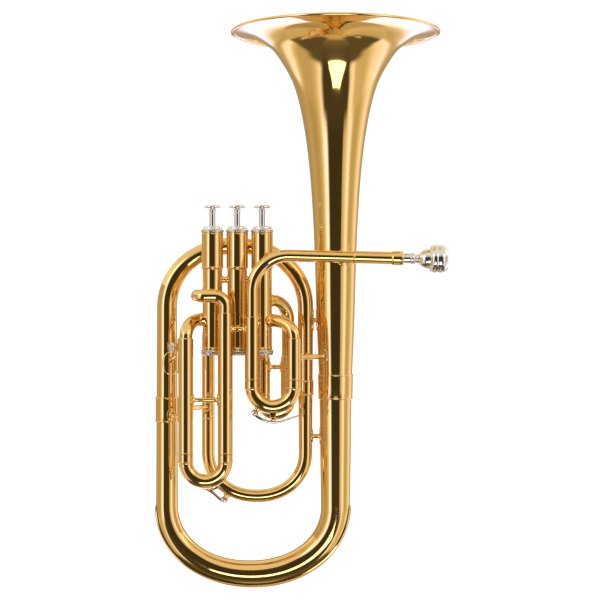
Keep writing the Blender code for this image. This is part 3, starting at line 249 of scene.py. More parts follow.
# Studio light. Bands are (degrees, level), round from the camera's side or up from the horizon. An edge is
# where one zone of light gives way to the next, in degrees
GLOW = 12.0
WARM_BELOW = 1.5
COOL_FROM = 0.9
WARMTH = (0.17, 0.45)  # taken off green and off blue
COOLNESS = 1.3
UPPER_EDGE = (30.0, 42.0)
HORIZON_EDGE = (-16.0, -9.0)
UNDER_EDGE = (-49.0, -43.0)
FOOT_EDGE = (-84.0, -76.0)
FRONT_EDGE = (34.0, 46.0)
WALL_BANDS = (
    (-180, 0.45), (-141, 0.45), (-107, 0.60), (-92, 0.52), (-79, 0.51), (-67, 0.62), (-61, 0.75),
    (-55, 0.92), (-50, 1.25), (-44, 1.5), (-37, 1.5), (-33, 0.8), (-29, 0.05), (27, 0.05), (31, 0.65),
    (38, 0.80), (45, 0.95), (53, 1.35), (59, 1.2), (65, 0.82), (70, 0.60), (86, 0.60), (94, 0.72),
    (103, 0.92), (112, 1.1), (121, 1.1), (130, 0.85), (141, 0.50), (180, 0.45),
)
UPPER_BANDS = ((-180, 0.30), (25, 0.30), (50, 0.35), (90, 0.35))
FRONT_LOWER_BANDS = ((-90, 0.62), (-80, 0.60), (-70, 0.22), (-58, 0.12), (-45, 0.06), (-20, 0.07), (0, 0.07))
SIDE_LOWER_BANDS = (
    (-180, 1.4), (-174, 1.6), (-160, 1.4), (-152, 0.80), (-143, 0.55), (-137, 0.70), (-128, 1.2),
    (-118, 1.3), (-110, 0.90), (-100, 0.62), (-75, 0.62), (-66, 0.72), (-58, 0.90), (-48, 1.2), (-36, 0.12),
    (36, 0.12), (43, 1.05), (51, 1.2), (60, 0.75), (83, 0.70), (92, 0.88), (103, 1.1), (126, 1.3),
    (136, 0.75), (143, 0.60), (152, 0.85), (160, 1.4), (174, 1.6), (180, 1.4),
)
UNDER_BANDS = (
    (-180, 0.60), (-157, 0.40), (-146, 0.70), (-134, 0.65), (-126, 0.20), (-95, 0.12), (120, 0.12),
    (134, 0.65), (146, 0.75), (157, 0.50), (180, 0.60),
)
PANELS = {  # place, turn, size, level
    "ceiling_panel": ((0.05, 0.05, 0.60), (0.0, 0.0, 0.0), (2.0, 1.5), 0.52),
    "front_panel": ((0.13, -1.15, -0.28), (pi, 0.0, 0.0), (0.62, 0.98), 3.0),
}
FLOOR_SIZE = 6.0
BACKDROP = 1.15
CAMERA_AT = (0.0473, -1.49, 0.2796)
CAMERA_LENS = 92.16
SENSOR_WIDTH = 36.0


# Surfaces
def skin(rings, loop=False):
    """A closed surface through rings of corners: round in a loop, or capped at both ends."""
    bm = bmesh.new()
    made = [[bm.verts.new(p) for p in ring] for ring in rings]
    for a, b in zip(made, made[1:] + made[:1] if loop else made[1:]):
        count = max(len(a), len(b))
        for i in range(count):
            j = (i + 1) % count
            if len(a) == 1:
                bm.faces.new((a[0], b[j], b[i]))
            elif len(b) == 1:
                bm.faces.new((a[i], a[j], b[0]))
            else:
                bm.faces.new((a[i], a[j], b[j], b[i]))
    if not loop:
        for ring in (made[0], made[-1]):
            if len(ring) > 2:
                bm.faces.new(ring)
    bmesh.ops.recalc_face_normals(bm, faces=bm.faces)
    return bm


def merged(*parts):
    """Several meshes as one."""
    whole = bmesh.new()
    for part in parts:
        shell = bpy.data.meshes.new("shell")
        part.to_mesh(shell)
        part.free()
        whole.from_mesh(shell)
        bpy.data.meshes.remove(shell)
    return whole


def circle(radius, sides):
    turns = [tau / sides * i for i in range(sides)]
    return [(radius * cos(a), radius * sin(a)) for a in turns]


def rounded(outline, radius, steps=3):
    """An outline with its sharp corners eased by short curves. Its two ends stay."""
    made = [outline[0]]
    for i in range(1, len(outline) - 1):
        corner = Vector(outline[i])
        before, after = Vector(outline[i - 1]) - corner, Vector(outline[i + 1]) - corner
        if min(before.length, after.length) < 1e-7 or pi - before.angle(after) < 0.25:
            made.append(outline[i])
            continue
        start = corner + before.normalized() * min(radius, before.length * 0.45)
        end = corner + after.normalized() * min(radius, after.length * 0.45)
        for k in range(steps + 1):
            t = k / steps
            made.append(tuple(start * (1 - t) ** 2 + corner * 2 * t * (1 - t) + end * t * t))
    return [*made, outline[-1]]


def smooth(points, per):
    """A smooth curve through a list of points."""
    points = [Vector(p) for p in points]
    padded = [points[0] * 2 - points[1], *points, points[-1] * 2 - points[-2]]
    made = []
    for p, q, r, s in zip(padded, padded[1:], padded[2:], padded[3:]):
        spans = [max((b - a).length, 1e-9) ** 0.5 for a, b in ((p, q), (q, r), (r, s))]
        leave = (q - p) / spans[0] - (r - p) / (spans[0] + spans[1]) + (r - q) / spans[1]
        enter = (r - q) / spans[1] - (s - q) / (spans[1] + spans[2]) + (s - r) / spans[2]
        leave, enter = leave * spans[1], enter * spans[1]
        for k in range(per):
            t = k / per
            made.append(
                q * (2 * t**3 - 3 * t**2 + 1)
                + leave * (t**3 - 2 * t**2 + t)
                + r * (3 * t**2 - 2 * t**3)
                + enter * (t**3 - t**2)
            )
    return [tuple(p) for p in [*made, points[-1]]]


def squared(side, heading):
    """The side direction, turned square to the heading."""
    return (side - heading * side.dot(heading)).normalized()


def directions(axis):
    """Ahead along the axis, to its side, and square to both."""
    ahead = Vector(axis).normalized()
    side = squared(Z if abs(ahead.dot(Y)) > 0.9 else Y, ahead)
    return ahead, side, ahead.cross(side)


class Centreline:
    """A tube's axis, laid as straight runs and bends, and read by distance along it."""

    def __init__(self, start, heading):
        heading, side, _ = directions(heading)
        self.points, self.headings, self.sides, self.distances = [Vector(start)], [heading], [side], [0.0]

    @property
    def length(self):
        return self.distances[-1]

    def add(self, point, heading):
        self.distances.append(self.length + (point - self.points[-1]).length)
        self.points.append(point)
        self.headings.append(heading)
        self.sides.append(squared(self.sides[-1], heading))

    def run(self, length):
        self.add(self.points[-1] + self.headings[-1] * length, self.headings[-1])
        return self

    def bend(self, radius, angle, side, steps=BEND_STEPS):
        """An arc that turns towards the side direction."""
        start, heading = self.points[-1], self.headings[-1]
        side = squared(side, heading)
        centre = start + side * radius
        for i in range(1, steps + 1):
            a = angle * i / steps
            point = centre - side * radius * cos(a) + heading * radius * sin(a)
            self.add(point, heading * cos(a) + side * sin(a))
        return self

    def oval(self, across, depth, side, power, steps=BEND_STEPS * 3):
        """Half of a superellipse that turns towards the side direction and ends facing back."""
        start, heading = self.points[-1], self.headings[-1]
        half = across / 2
        points = []
        for i in range(steps + 1):
            c, s = cos(pi * i / steps), sin(pi * i / steps)
            u = copysign(abs(c) ** (2 / power), c)
            points.append(start + side * half * (1 - u) + heading * depth * abs(s) ** (2 / power))
        for i in range(1, len(points)):
            ahead = (points[i + 1] - points[i - 1]).normalized() if i + 1 < len(points) else -heading
            self.add(points[i], ahead)
        return self

    def reach(self, target, heading, pull, steps=BEND_STEPS):
        """A smooth curve to a point and a heading, with the given pull at either end."""
        start, first = self.points[-1], self.headings[-1]
        last = Vector(heading).normalized()
        a, b, c, d = start, start + first * pull[0], target - last * pull[1], target
        for i in range(1, steps + 1):
            t = i / steps
            u = 1 - t
            point = a * u**3 + b * 3 * u * u * t + c * 3 * u * t * t + d * t**3
            slope = (b - a) * u * u + (c - b) * 2 * u * t + (d - c) * t * t
            self.add(point, slope.normalized())
        return self

    def at(self, distance):
        """Point, side and up directions at a distance along the line."""
        distance = min(max(distance, 0.0), self.length)
        i = 1
        while self.distances[i] < distance and i < len(self.distances) - 1:
            i += 1
        span = self.distances[i] - self.distances[i - 1]
        t = (distance - self.distances[i - 1]) / span if span else 0.0
        point = self.points[i - 1].lerp(self.points[i], t)
        heading = self.headings[i - 1].lerp(self.headings[i], t).normalized()
        side = squared(self.sides[i - 1].lerp(self.sides[i], t), heading)
        return point, side, heading.cross(side)

    def place(self, distance, section):
        point, side, up = self.at(distance)
        return [point + side * u + up * v for u, v in section]


def read(profile, distance):
    """The radius at a distance, between the stations of a profile of (distance, radius)."""
    for (a, ra), (b, rb) in zip(profile, profile[1:]):
        if distance <= b:
            return ra + (rb - ra) * (distance - a) / (b - a) if b > a else rb
    return profile[-1][1]


def rings_along(line, profile, sides):
    """Round rings at the profile's own stations and at the points of the line between them."""
    own = [d for d, _ in profile]
    extra = [k for k in line.distances if own[0] < k < own[-1] and all(abs(k - d) > NEAR for d in own)]
    stations = sorted(profile + [(k, read(profile, k)) for k in extra], key=lambda s: s[0])
    return [line.place(d, circle(r, sides)) for d, r in stations]


def tube(line, outer, bore, sides=TUBE_SIDES):
    """A pipe along the line. A bore shorter than the pipe makes a blind socket at its start."""
    inside, outside = rings_along(line, bore, sides), rings_along(line, outer, sides)
    whole = bore[-1][0] > outer[-1][0] - NEAR
    return skin(inside[::-1] + outside, loop=whole)


def rod(line, profile, sides=TUBE_SIDES):
    return skin(rings_along(line, profile, sides))


def turned(profile, sides, base=(0, 0, 0), axis=Z):
    """A turned piece: a closed outline of (radius, height), or one that starts and ends on the axis."""
    ahead, side, up = directions(axis)
    rings = []
    for radius, height in profile:
        centre = Vector(base) + ahead * height
        section = circle(radius, sides) if radius > 0 else [(0, 0)]
        rings.append([centre + side * u + up * v for u, v in section])
    return skin(rings, loop=profile[0][0] > 0)


def lathe(outline, ease, sides, base=(0, 0, 0), axis=Z):
    """A turned piece with eased corners, from an outline that is closed or starts and ends on the axis."""
    if outline[0][0] > 0:
        return turned(rounded(outline + outline[:1], ease)[:-1], sides, base, axis)
    return turned(rounded(outline, ease), sides, base, axis)


def plug(radius, low, high):
    """The outline of a plain cylinder."""
    return [(0.0, low), (radius, low), (radius, high), (0.0, high)]


def ring(base, axis, at, radius, proud, width, sides=TUBE_SIDES):
    """A half-round bead round a tube, centred at a distance along the axis."""
    arc = [pi * k / 10 for k in range(11)]
    outline = [(radius + proud * sin(a), at - width / 2 * cos(a)) for a in arc]
    inner = radius - proud * 0.5
    return turned([(inner, at - width / 2), *outline, (inner, at + width / 2)], sides, base, axis)


def saddle(centre, axis, out, radius, half_height, half_angle, thick=PLATE_THICK, sides=40):
    """An oval plate that hugs a tube. The radius is a number or a function of the height on the axis."""
    axis = Vector(axis).normalized()
    out = squared(out, axis)
    across = axis.cross(out)

    def corner(share, turn, lift):
        height = half_height * share * sin(turn)
        angle = half_angle * share * cos(turn)
        r = (radius(height) if callable(radius) else radius) + lift
        return Vector(centre) + axis * height + (out * cos(angle) + across * sin(angle)) * r

    turns = [tau * i / sides for i in range(sides)]
    rows = ((0.35, thick), (0.7, thick), (0.9, thick), (0.965, thick * 0.8), (1.0, thick * 0.35))
    rings = [[corner(0, 0, thick)]]
    rings += [[corner(share, turn, lift) for turn in turns] for share, lift in rows]
    rings += [[corner(share, turn, -0.0002) for turn in turns] for share in (1.0, 0.6)]
    return skin([*rings, [corner(0, 0, -0.0002)]])


def coil(base, axis, radius, wire, turns, width, sides=8, steps=18):
    """A helical wire round an axis."""
    ahead, side, up = directions(axis)
    count = turns * steps
    rings = []
    for i in range(count + 1):
        turn = tau * i / steps
        out = side * cos(turn) + up * sin(turn)
        centre = Vector(base) + ahead * (width * (i / count - 0.5)) + out * radius
        rings.append([centre + out * u + ahead * v for u, v in circle(wire, sides)])
    return skin(rings)


def wire(points, radius, sides=8, per=5):
    """A bent wire through a few points."""
    curve = [Vector(p) for p in smooth(points, per)]
    line = Centreline(curve[0], curve[1] - curve[0])
    for a, b in zip(curve, curve[1:]):
        line.add(b, (b - a).normalized())
    return rod(line, [(0.0, radius), (line.length, radius)], sides)


# Finishes
def add_node(tree, kind, inputs):
    """A shader node whose inputs are each given as a value or as another node's output."""
    node = tree.nodes.new(f"ShaderNode{kind}")
    for key, value in inputs.items():
        if isinstance(value, bpy.types.NodeSocket):
            tree.links.new(value, node.inputs[key])
        else:
            node.inputs[key].default_value = value
    return node


def add_ramp(tree, source, stops):
    """Colours at places along a value from 0 to 1."""
    node = add_node(tree, "ValToRGB", {"Fac": source})
    elements = node.color_ramp.elements
    while len(elements) < len(stops):
        elements.new(0.5)
    for element, (place, colour) in zip(elements, stops):
        element.position = place
        element.color = (*colour, 1)
    return node.outputs["Color"]


class Shader:
    """A few calls that lay out a Principled material with procedural detail."""

    def __init__(self, name, metallic, roughness, coat=0.0):
        self.material = bpy.data.materials.new(name)
        self.material.use_nodes = True
        self.tree = self.material.node_tree
        self.surface = self.tree.nodes["Principled BSDF"].inputs
        self.surface["Metallic"].default_value = metallic
        self.surface["Roughness"].default_value = roughness
        self.surface["Coat Weight"].default_value = coat
        self.surface["Coat Roughness"].default_value = 0.03
        self.place = add_node(self.tree, "TexCoord", {}).outputs["Object"]

    def noise(self, scale, detail=3.0, stretch=None, roughness=0.5):
        """Noise over the object's own coordinates, drawn out along an axis if asked."""
        place = self.place
        if stretch:
            place = add_node(self.tree, "Mapping", {"Vector": place, "Scale": stretch}).outputs["Vector"]
        inputs = {"Vector": place, "Scale": scale, "Detail": detail, "Roughness": roughness}
        return add_node(self.tree, "TexNoise", inputs).outputs["Fac"]

    def tone(self, source, stops):
        self.tree.links.new(add_ramp(self.tree, source, stops), self.surface["Base Color"])

    def polish(self, source, low, high):
        """Roughness that follows the value between two limits."""
        inputs = {"Value": source, "From Min": 0.3, "From Max": 0.7, "To Min": low, "To Max": high}
        result = add_node(self.tree, "MapRange", inputs).outputs["Result"]
        self.tree.links.new(result, self.surface["Roughness"])

    def relief(self, *layers):
        """Bumps laid over one another, each as (height, strength, distance)."""
        inputs = {}
        for height, strength, distance in layers:
            inputs |= {"Height": height, "Strength": strength, "Distance": distance}
            inputs["Normal"] = add_node(self.tree, "Bump", inputs).outputs["Normal"]
        self.tree.links.new(inputs["Normal"], self.surface["Normal"])


def lacquered_brass():
    """Polished yellow brass under clear lacquer: warm cloudy tone, faint handling marks and drawn lines."""
    made = Shader("lacquered_brass", 1.0, 0.07, coat=0.35)
    made.tone(made.noise(14, 4), ((0.25, (0.88, 0.595, 0.198)), (0.75, (0.92, 0.635, 0.238))))
    made.polish(made.noise(90, 5), 0.045, 0.10)
    made.relief((made.noise(38, 2), 0.05, 0.0006), (made.noise(900, 2, (1, 1, 0.05)), 0.02, 0.0001))
    return made.material


def silver_plate():
    """Bright silver plate with a trace of tarnish in its cloudiness."""
    made = Shader("silver_plate", 1.0, 0.09, coat=0.1)
    made.tone(made.noise(60, 4), ((0.2, (0.80, 0.77, 0.71)), (0.8, (0.88, 0.86, 0.81))))
    made.polish(made.noise(220, 4), 0.06, 0.13)
    made.relief((made.noise(1200, 2), 0.02, 0.0001))
    return made.material


def spring_steel():
    made = Shader("spring_steel", 1.0, 0.25)
    made.tone(made.noise(300, 3), ((0.3, (0.34, 0.34, 0.36)), (0.7, (0.52, 0.52, 0.54))))
    made.polish(made.noise(500, 3), 0.2, 0.35)
    return made.material


def cork():
    """Pressed cork, speckled and pitted."""
    made = Shader("pressed_cork", 0.0, 0.85)
    speckle = made.noise(1400, 5, roughness=0.7)
    made.tone(speckle, ((0.3, (0.20, 0.11, 0.05)), (0.5, (0.50, 0.32, 0.17)), (0.75, (0.62, 0.43, 0.26))))
    made.relief((speckle, 0.5, 0.0003))
    return made.material


FINISH = {"lacquer": lacquered_brass(), "silver": silver_plate(), "steel": spring_steel()}
CORK = cork()


# Pieces
def add_object(name, data):
    made = bpy.data.objects.new(name, data)
    bpy.context.scene.collection.objects.link(made)
    return made


def piece(name, bm, body, material, sharp=40):
    """A smooth-shaded object that rides on a body."""
    mesh = bpy.data.meshes.new(name)
    bm.to_mesh(mesh)
    bm.free()
    mesh.shade_smooth()
    mesh.set_sharp_from_angle(angle=radians(sharp))
    mesh.materials.append(material)
    made = add_object(name, mesh)
    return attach(made, body)


def dress(node, *parts):
    """The fine form that stands for a solid, on its body and in its finish."""
    slot = SLOT_OF[node]
    made = piece(f"{node}_form", merged(*parts), BODY_OF[node], FINISH[slot])
    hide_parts(node)
    return made


def extra(name, node, material, *parts, slot=None):
    """A small piece with no solid of its own, on the body of the solid that carries it."""
    made = piece(name, merged(*parts), BODY_OF[node], material)
    return made if slot else made


BELL_OUTSIDE = [(r, RIM_Z - d) for d, r in smooth(BELL_FLARE, 7)]


def bell_radius(z):
    """Outer radius of the bell at a height."""
    return read([(RIM_Z - height, r) for r, height in BELL_OUTSIDE], RIM_Z - z)


def offset(outline, wall):
    """The outline moved inwards by the wall, square to its own slope."""
    moved = []
    for i, (r, z) in enumerate(outline):
        before, after = outline[max(i - 1, 0)], outline[min(i + 1, len(outline) - 1)]
        slope = Vector((after[0] - before[0], after[1] - before[1])).normalized()
        moved.append((r + slope.y * wall, z - slope.x * wall))
    return moved


def bell():
    """The flare with its wire-rolled rim."""
    centre_r, centre_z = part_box("bell")[1].y - RIM_BEAD_R, RIM_Z - RIM_BEAD_R
    turns = [radians(160 - 320 * k / 24) for k in range(25)]
    bead = [(centre_r + RIM_BEAD_R * cos(a), centre_z + RIM_BEAD_R * sin(a)) for a in turns]
    inside = offset(BELL_OUTSIDE, BELL_WALL)
    dress("bell", turned(bead + BELL_OUTSIDE[2:] + inside[2:][::-1], BELL_SIDES, (BELL_X, 0, 0)))


def ferrule(node, x, middle_z, low, high, sides=WIDE_SIDES, length=FERRULE_LENGTH):
    """A short sleeve over a butt joint, from one radius to the other, with a fine bead at either end."""
    half = length / 2
    wall = SEAT_GAP + FERRULE_WALL * 0.6
    outline = [
        (low, middle_z - half), (low + wall, middle_z - half), (high + wall, middle_z + half),
        (high, middle_z + half),
    ]
    base = (x, 0, 0)
    body = lathe(outline, 0.0002, sides, base)
    beads = [
        ring(base, Z, middle_z + side * (half - 0.0008), r + wall, 0.00035, 0.0013, sides)
        for side, r in ((-1, low), (1, high))
    ]
    dress(node, body, *beads)


def wide_bend(heading, first, depth, last, end_x, radii):
    """A branch from the outer tube's joint: a straight run, half an oval and a straight run back."""
    line = Centreline((OUTER_X, 0, OUTER_JOINT_Z), heading).run(first)
    left = line.length
    line.oval(end_x - OUTER_X, depth, X, BOW_POWER, BEND_STEPS * 4)
    right = line.length
    line.run(last)
    stations = (0.0, left, (left + right) / 2, right, line.length)
    return line, list(zip(stations, radii)), left, right


def bottom_bow():
    """From the outer tube's joint, round the foot and up to the bell, with the guard underneath."""
    radii = (OUTER_JOINT_R, BOW_OUTER_R, BOW_FOOT_R, BOW_BELL_R, BELL_FOOT_R)
    drop, depth, rise = OUTER_JOINT_Z - BOW_TOP_Z, BOW_TOP_Z - GUARD_R, BELL_FOOT_Z - BOW_TOP_Z
    line, profile, left, right = wide_bend(-Z, drop, depth, rise, BELL_X, radii)
    dress("bottom_bow", tube(line, profile, [(d, r - WALL) for d, r in profile], WIDE_SIDES))
    rings = []
    steps = 90
    for i in range(steps + 1):
        distance = left + (right - left) * i / steps
        along = sin(pi * i / steps)
        half = GUARD_TIP_ANGLE + (GUARD_HALF_ANGLE - GUARD_TIP_ANGLE) * max(along, 0.0) ** 0.6
        inner = read(profile, distance) + SEAT_GAP * 0.3
        outer = inner + GUARD_THICK + SEAT_GAP * 0.7 - GUARD_FOOT_Z - NEAR / 2
        end = min(i, steps - i)
        outer -= GUARD_THICK * (0.6, 0.2)[end] if end < 2 else 0.0
        turns = [-pi / 2 + half * (k / 10 - 1) for k in range(21)]
        edge, lip = (outer + inner) / 2, 0.0006 / outer
        section = [(edge, turns[0]), (outer, turns[0] + lip), *((outer, a) for a in turns[1:-1])]
        section += [(outer, turns[-1] - lip), (edge, turns[-1]), *((inner, a) for a in reversed(turns))]
        rings.append(line.place(distance, [(r * cos(a), r * sin(a)) for r, a in section]))
    dress("bow_guard", skin(rings))


def arch_branch():
    """The outer tube, the arch behind the valves and the inner leg, in one taper."""
    radii = (OUTER_JOINT_R, ARCH_LEFT_R, ARCH_TOP_R, INNER_TOP_R, INNER_JOINT_R)
    rise, drop = ARCH_SPRING_Z - OUTER_JOINT_Z, ARCH_SPRING_Z - INNER_JOINT_Z
    line, profile, *_ = wide_bend(Z, rise, ARCH_RISE, drop, INNER_X, radii)
    dress("arch_branch", rod(line, profile, WIDE_SIDES))


def port(index, azimuth, z, reach=0.0):
    """A point on the ray that leaves a casing's axis, and the ray's direction."""
    out = Vector((cos(azimuth), sin(azimuth), 0))
    return Vector((VALVE_XS[index], VALVE_Y, z)) + out * reach, out


def port_collar(index, azimuth, z, radius=TUBE_R):
    """The flanged collar where a tube is soldered into a casing."""
    base, out = port(index, azimuth, z)
    outline = [
        (radius - 0.0004, CASING_R * 0.72), (radius + 0.0007, CASING_R * 0.72),
        (radius + 0.0007, CASING_R + 0.0008), (radius + 0.0002, CASING_R + 0.0016),
        (radius - 0.0004, CASING_R + 0.0016),
    ]
    return turned(rounded(outline, 0.0003), TUBE_SIDES, base, out)


def key_seat(line, first, last, shares, tube_r, hinge):
    """Where a water key sits on a bow: the nipple's foot, the pivot, and the way out of the bow at each."""
    def on_bow(share):
        point, _, up = line.at(first + (last - first) * share)
        return point, up if up.z < 0 else -up

    (mouth, out), (foot, pivot_out) = map(on_bow, shares)
    return {
        "mouth": mouth + out * tube_r,
        "out": out,
        "foot": foot,
        "pivot": Vector(JOINTS[hinge]["pos_m"]),
        "pivot_out": pivot_out,
        "tube_r": tube_r,
    }


def key_saddle(seat):
    """Two shaped ears on a soldered plate, the screwed pin through them, and the nipple."""
    out, pivot = seat["pivot_out"], seat["pivot"]
    across = Y.cross(out)
    base = seat["foot"] + out * (seat["tube_r"] - 0.0012)
    parts = []
    for side in (-1, 1):
        inner = side * (KEY_WIDTH / 2 + SEAT_GAP)
        arc = [pi * k / 12 for k in range(13)]
        outline = [base - across * KEY_LUG_R * 1.6]
        outline += [pivot + (across * -cos(a) + out * sin(a)) * KEY_LUG_R * 0.85 for a in arc]
        outline += [base + across * KEY_LUG_R * 1.6]
        depths = ((0.0, 0.93), (0.12, 1.0), (0.88, 1.0), (1.0, 0.93))
        centre = (base + pivot) / 2
        plate = [
            [centre + (p - centre) * share + Y * (inner + side * KEY_LUG * depth) for p in outline]
            for depth, share in depths
        ]
        parts.append(skin(plate))
    half = KEY_WIDTH / 2 + SEAT_GAP + KEY_LUG
    tip = half + 0.0002
    parts.append(lathe(plug(KEY_PIN_R, -tip, tip), 0.0002, 24, pivot, Y))
    head = [(0.0, 0.0), (KEY_HEAD_R, 0.0), (KEY_HEAD_R, 0.0006)]
    head += [(0.0004, 0.0011), (0.0004, 0.0008), (0.0, 0.0008)]
    parts.append(lathe(head, 0.0003, 32, pivot - Y * half, -Y))
    nipple = [
        (NIPPLE_R * 0.5, -0.0020), (NIPPLE_R * 1.25, -0.0020), (NIPPLE_R * 1.25, 0.0004),
        (NIPPLE_R * 0.85, 0.0008), (NIPPLE_R * 0.85, NIPPLE_HEIGHT - 0.0005),
        (NIPPLE_R, NIPPLE_HEIGHT - 0.0004), (NIPPLE_R, NIPPLE_HEIGHT), (NIPPLE_R * 0.5, NIPPLE_HEIGHT),
    ]
    parts.append(turned(rounded(nipple, 0.0002), 32, seat["mouth"], seat["out"]))
    return parts


def water_key(node, seat, finger):
    """The sprung lever: hub on the pin, cork cup over the nipple, and a spoon-shaped finger end."""
    pivot, out = seat["pivot"], seat["out"]
    cork_at = seat["mouth"] + out * (NIPPLE_HEIGHT + SEAT_GAP)
    away = (pivot - seat["mouth"]).normalized()
    finger = Vector((finger[0], 0, finger[1]))
    start = cork_at + out * (CORK_THICK + KEY_THICK * 0.4) - away * KEY_CUP_THICK
    rest, end = pivot + seat["pivot_out"] * (KEY_HUB_R + KEY_SAG), pivot + finger
    line = Centreline(start, away)
    pull = (rest - start).length * KEY_PULL
    line.reach(rest, end - start, (pull, pull), 20)
    hub_at = line.length
    pull = (end - rest).length * KEY_PULL
    line.reach(end, end - rest, (pull, pull), 28)
    rings = []
    for distance in line.distances:
        share = max(0.0, (distance - hub_at) / (line.length - hub_at))
        spoon = 1 + KEY_SPOON * sin(pi * min(1.0, share**3 * KEY_SPOON_TURN)) if share else 1.0
        tip = sqrt(max(0.04, 1 - max(0.0, (share - 0.9) / 0.1) ** 2))
        half = KEY_WIDTH / 2 * spoon * tip * (0.80 + 0.20 * abs(1 - 2 * min(share * 1.6, 1.0)))
        thick = KEY_THICK * (0.75 - 0.4 * share)
        section = [
            (half * copysign(abs(cos(a)) ** KEY_EDGE_POWER, cos(a)), thick * sin(a))
            for a in (tau * k / 20 for k in range(20))
        ]
        rings.append(line.place(distance, section))
    half = KEY_WIDTH / 2
    hub = [
        (KEY_PIN_R + 0.0002, -half), (KEY_HUB_R, -half), (KEY_HUB_R, -half + 0.0007),
        (KEY_HUB_R * 0.86, -half + 0.0009), (KEY_HUB_R * 0.86, half - 0.0009), (KEY_HUB_R, half - 0.0007),
        (KEY_HUB_R, half), (KEY_PIN_R + 0.0002, half),
    ]
    cup = [
        (0.0, CORK_THICK * 0.35), (CORK_R, CORK_THICK * 0.35), (CORK_R, CORK_THICK + KEY_CUP_THICK * 0.6),
        (CORK_R * 0.8, CORK_THICK + KEY_CUP_THICK), (0.0, CORK_THICK + KEY_CUP_THICK),
    ]
    dress(
        node,
        skin(rings),
        lathe(hub, 0.0002, 36, pivot, Y),
        lathe(cup, 0.0005, 40, cork_at, out),
    )
    pad = plug(CORK_R * 0.9, 0.0, CORK_THICK * 0.6)
    extra(f"{node}_cork", node, CORK, lathe(pad, 0.0003, 40, cork_at, out))
    arm = pivot + finger * 0.42
    lift = seat["pivot_out"] * (KEY_HUB_R * 0.35)
    under = pivot - seat["pivot_out"] * KEY_HUB_R * 1.05
    halfway = (arm + pivot) / 2 + lift * 0.2
    legs = [
        wire([under + Y * y, halfway + Y * y * 0.7, arm + Y * y * 0.4 + lift], 0.0002)
        for y in (-0.0012, 0.0012)
    ]
    spring = coil(pivot, Y, KEY_HUB_R * 1.02, 0.00022, 5, 0.0024)
    extra(f"{node}_spring", node, FINISH["steel"], spring, *legs, slot="steel")


def inner_bow():
    """From the joint under the arch, round the inner bow and up its left leg into the third valve."""
    line = Centreline((INNER_X, 0, INNER_JOINT_Z), -Z).run(INNER_JOINT_Z - INNER_BOW_Z)
    first = line.length
    line.oval(INNER_X - INNER_LEFT_X, INNER_BOW_DROP, -X, INNER_BOW_POWER)
    last = line.length
    line.run(LAST_PORT_Z - LEG_BEND_R - INNER_BOW_Z)
    inward = Vector((-cos(EXIT_AZIMUTH), -sin(EXIT_AZIMUTH), 0))
    line.bend(LEG_BEND_R, pi / 2, inward, 16).run(abs(VALVE_Y) - LEG_BEND_R - CASING_R * 0.72)
    profile = [(0.0, INNER_JOINT_R), (first, INNER_BOW_R), (last, TUBE_R), (line.length, TUBE_R)]
    seat = key_seat(line, first, last, BOW_KEY_SHARES, INNER_BOW_R, "bow_key_lift")
    joint = last + (LAST_PORT_Z - LEG_BEND_R - INNER_BOW_Z) * 0.30
    point, _, _ = line.at(joint)
    band = ring(point, Z, 0.0, TUBE_R, 0.0005, 0.0016)
    collar = port_collar(2, EXIT_AZIMUTH, LAST_PORT_Z)
    dress("inner_bow", rod(line, profile), band, collar, *key_saddle(seat))
    water_key("bow_water_key", seat, BOW_KEY_FINGER)


def leadpipe():
    """From the receiver, over to the left and down into the main slide's left leg."""
    bend_x = MAIN_LEFT_X + PIPE_BEND_R * (1 + sin(PIPE_SLOPE))
    line = Centreline(PIPE_BASE + PIPE_AXIS * PIPE_END, -PIPE_AXIS)
    line.run(PIPE_END - bend_x / cos(PIPE_SLOPE))
    line.bend(PIPE_BEND_R, pi / 2 + PIPE_SLOPE, -Z, 48)
    line.run(line.points[-1].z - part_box("leadpipe")[0].z)
    dress("leadpipe", rod(line, [(0.0, PIPE_R), (line.length, TUBE_R)]))


def receiver():
    """The tapered socket for the mouthpiece's shank, with a ring at its root and a collar at its mouth."""
    start, end = PIPE_END, RECEIVER_END
    outline = [
        (PIPE_R - 0.0010, start - 0.0010), (0.0060, start - 0.0010), (0.0061, start + 0.0010),
        (0.0062, end - 0.0112), (0.0065, end - 0.0108), (0.0070, end - 0.0096), (0.0071, end - 0.0070),
        (0.0071, end - 0.0022), (0.0068, end - 0.0008), (0.0060, end), (0.0052, end),
        (0.0046, end - 0.0200), (PIPE_R - 0.0010, end - 0.0210),
    ]
    root = ring(PIPE_BASE, PIPE_AXIS, start + 0.0004, 0.0060, 0.0004, 0.0015)
    seam = ring(PIPE_BASE, PIPE_AXIS, end - 0.0110, 0.0061, 0.0003, 0.0008)
    body = lathe(outline, 0.0004, WIDE_SIDES, PIPE_BASE, PIPE_AXIS)
    dress("receiver", body, root, seam)


def mouthpiece():
    """Rim, cup, throat and shank, turned in one, with a pair of rings at the throat."""
    def behind_rim(stations):
        return [(r, MOUTHPIECE_RIM - back) for r, back in stations]

    end = RECEIVER_END
    shank = [(0.0037, end - 0.0190), (0.0044, end - 0.0190), (0.0049, end), *behind_rim(SHANK_RINGS)]
    bowl, rim_side, face = [smooth(behind_rim(stations), 5) for stations in (CUP_BACK, RIM_SIDE, CUP_FACE)]
    outline = rounded(shank, 0.0004) + bowl[1:] + rim_side + face
    dress("mouthpiece", turned(outline, 96, PIPE_BASE, PIPE_AXIS))


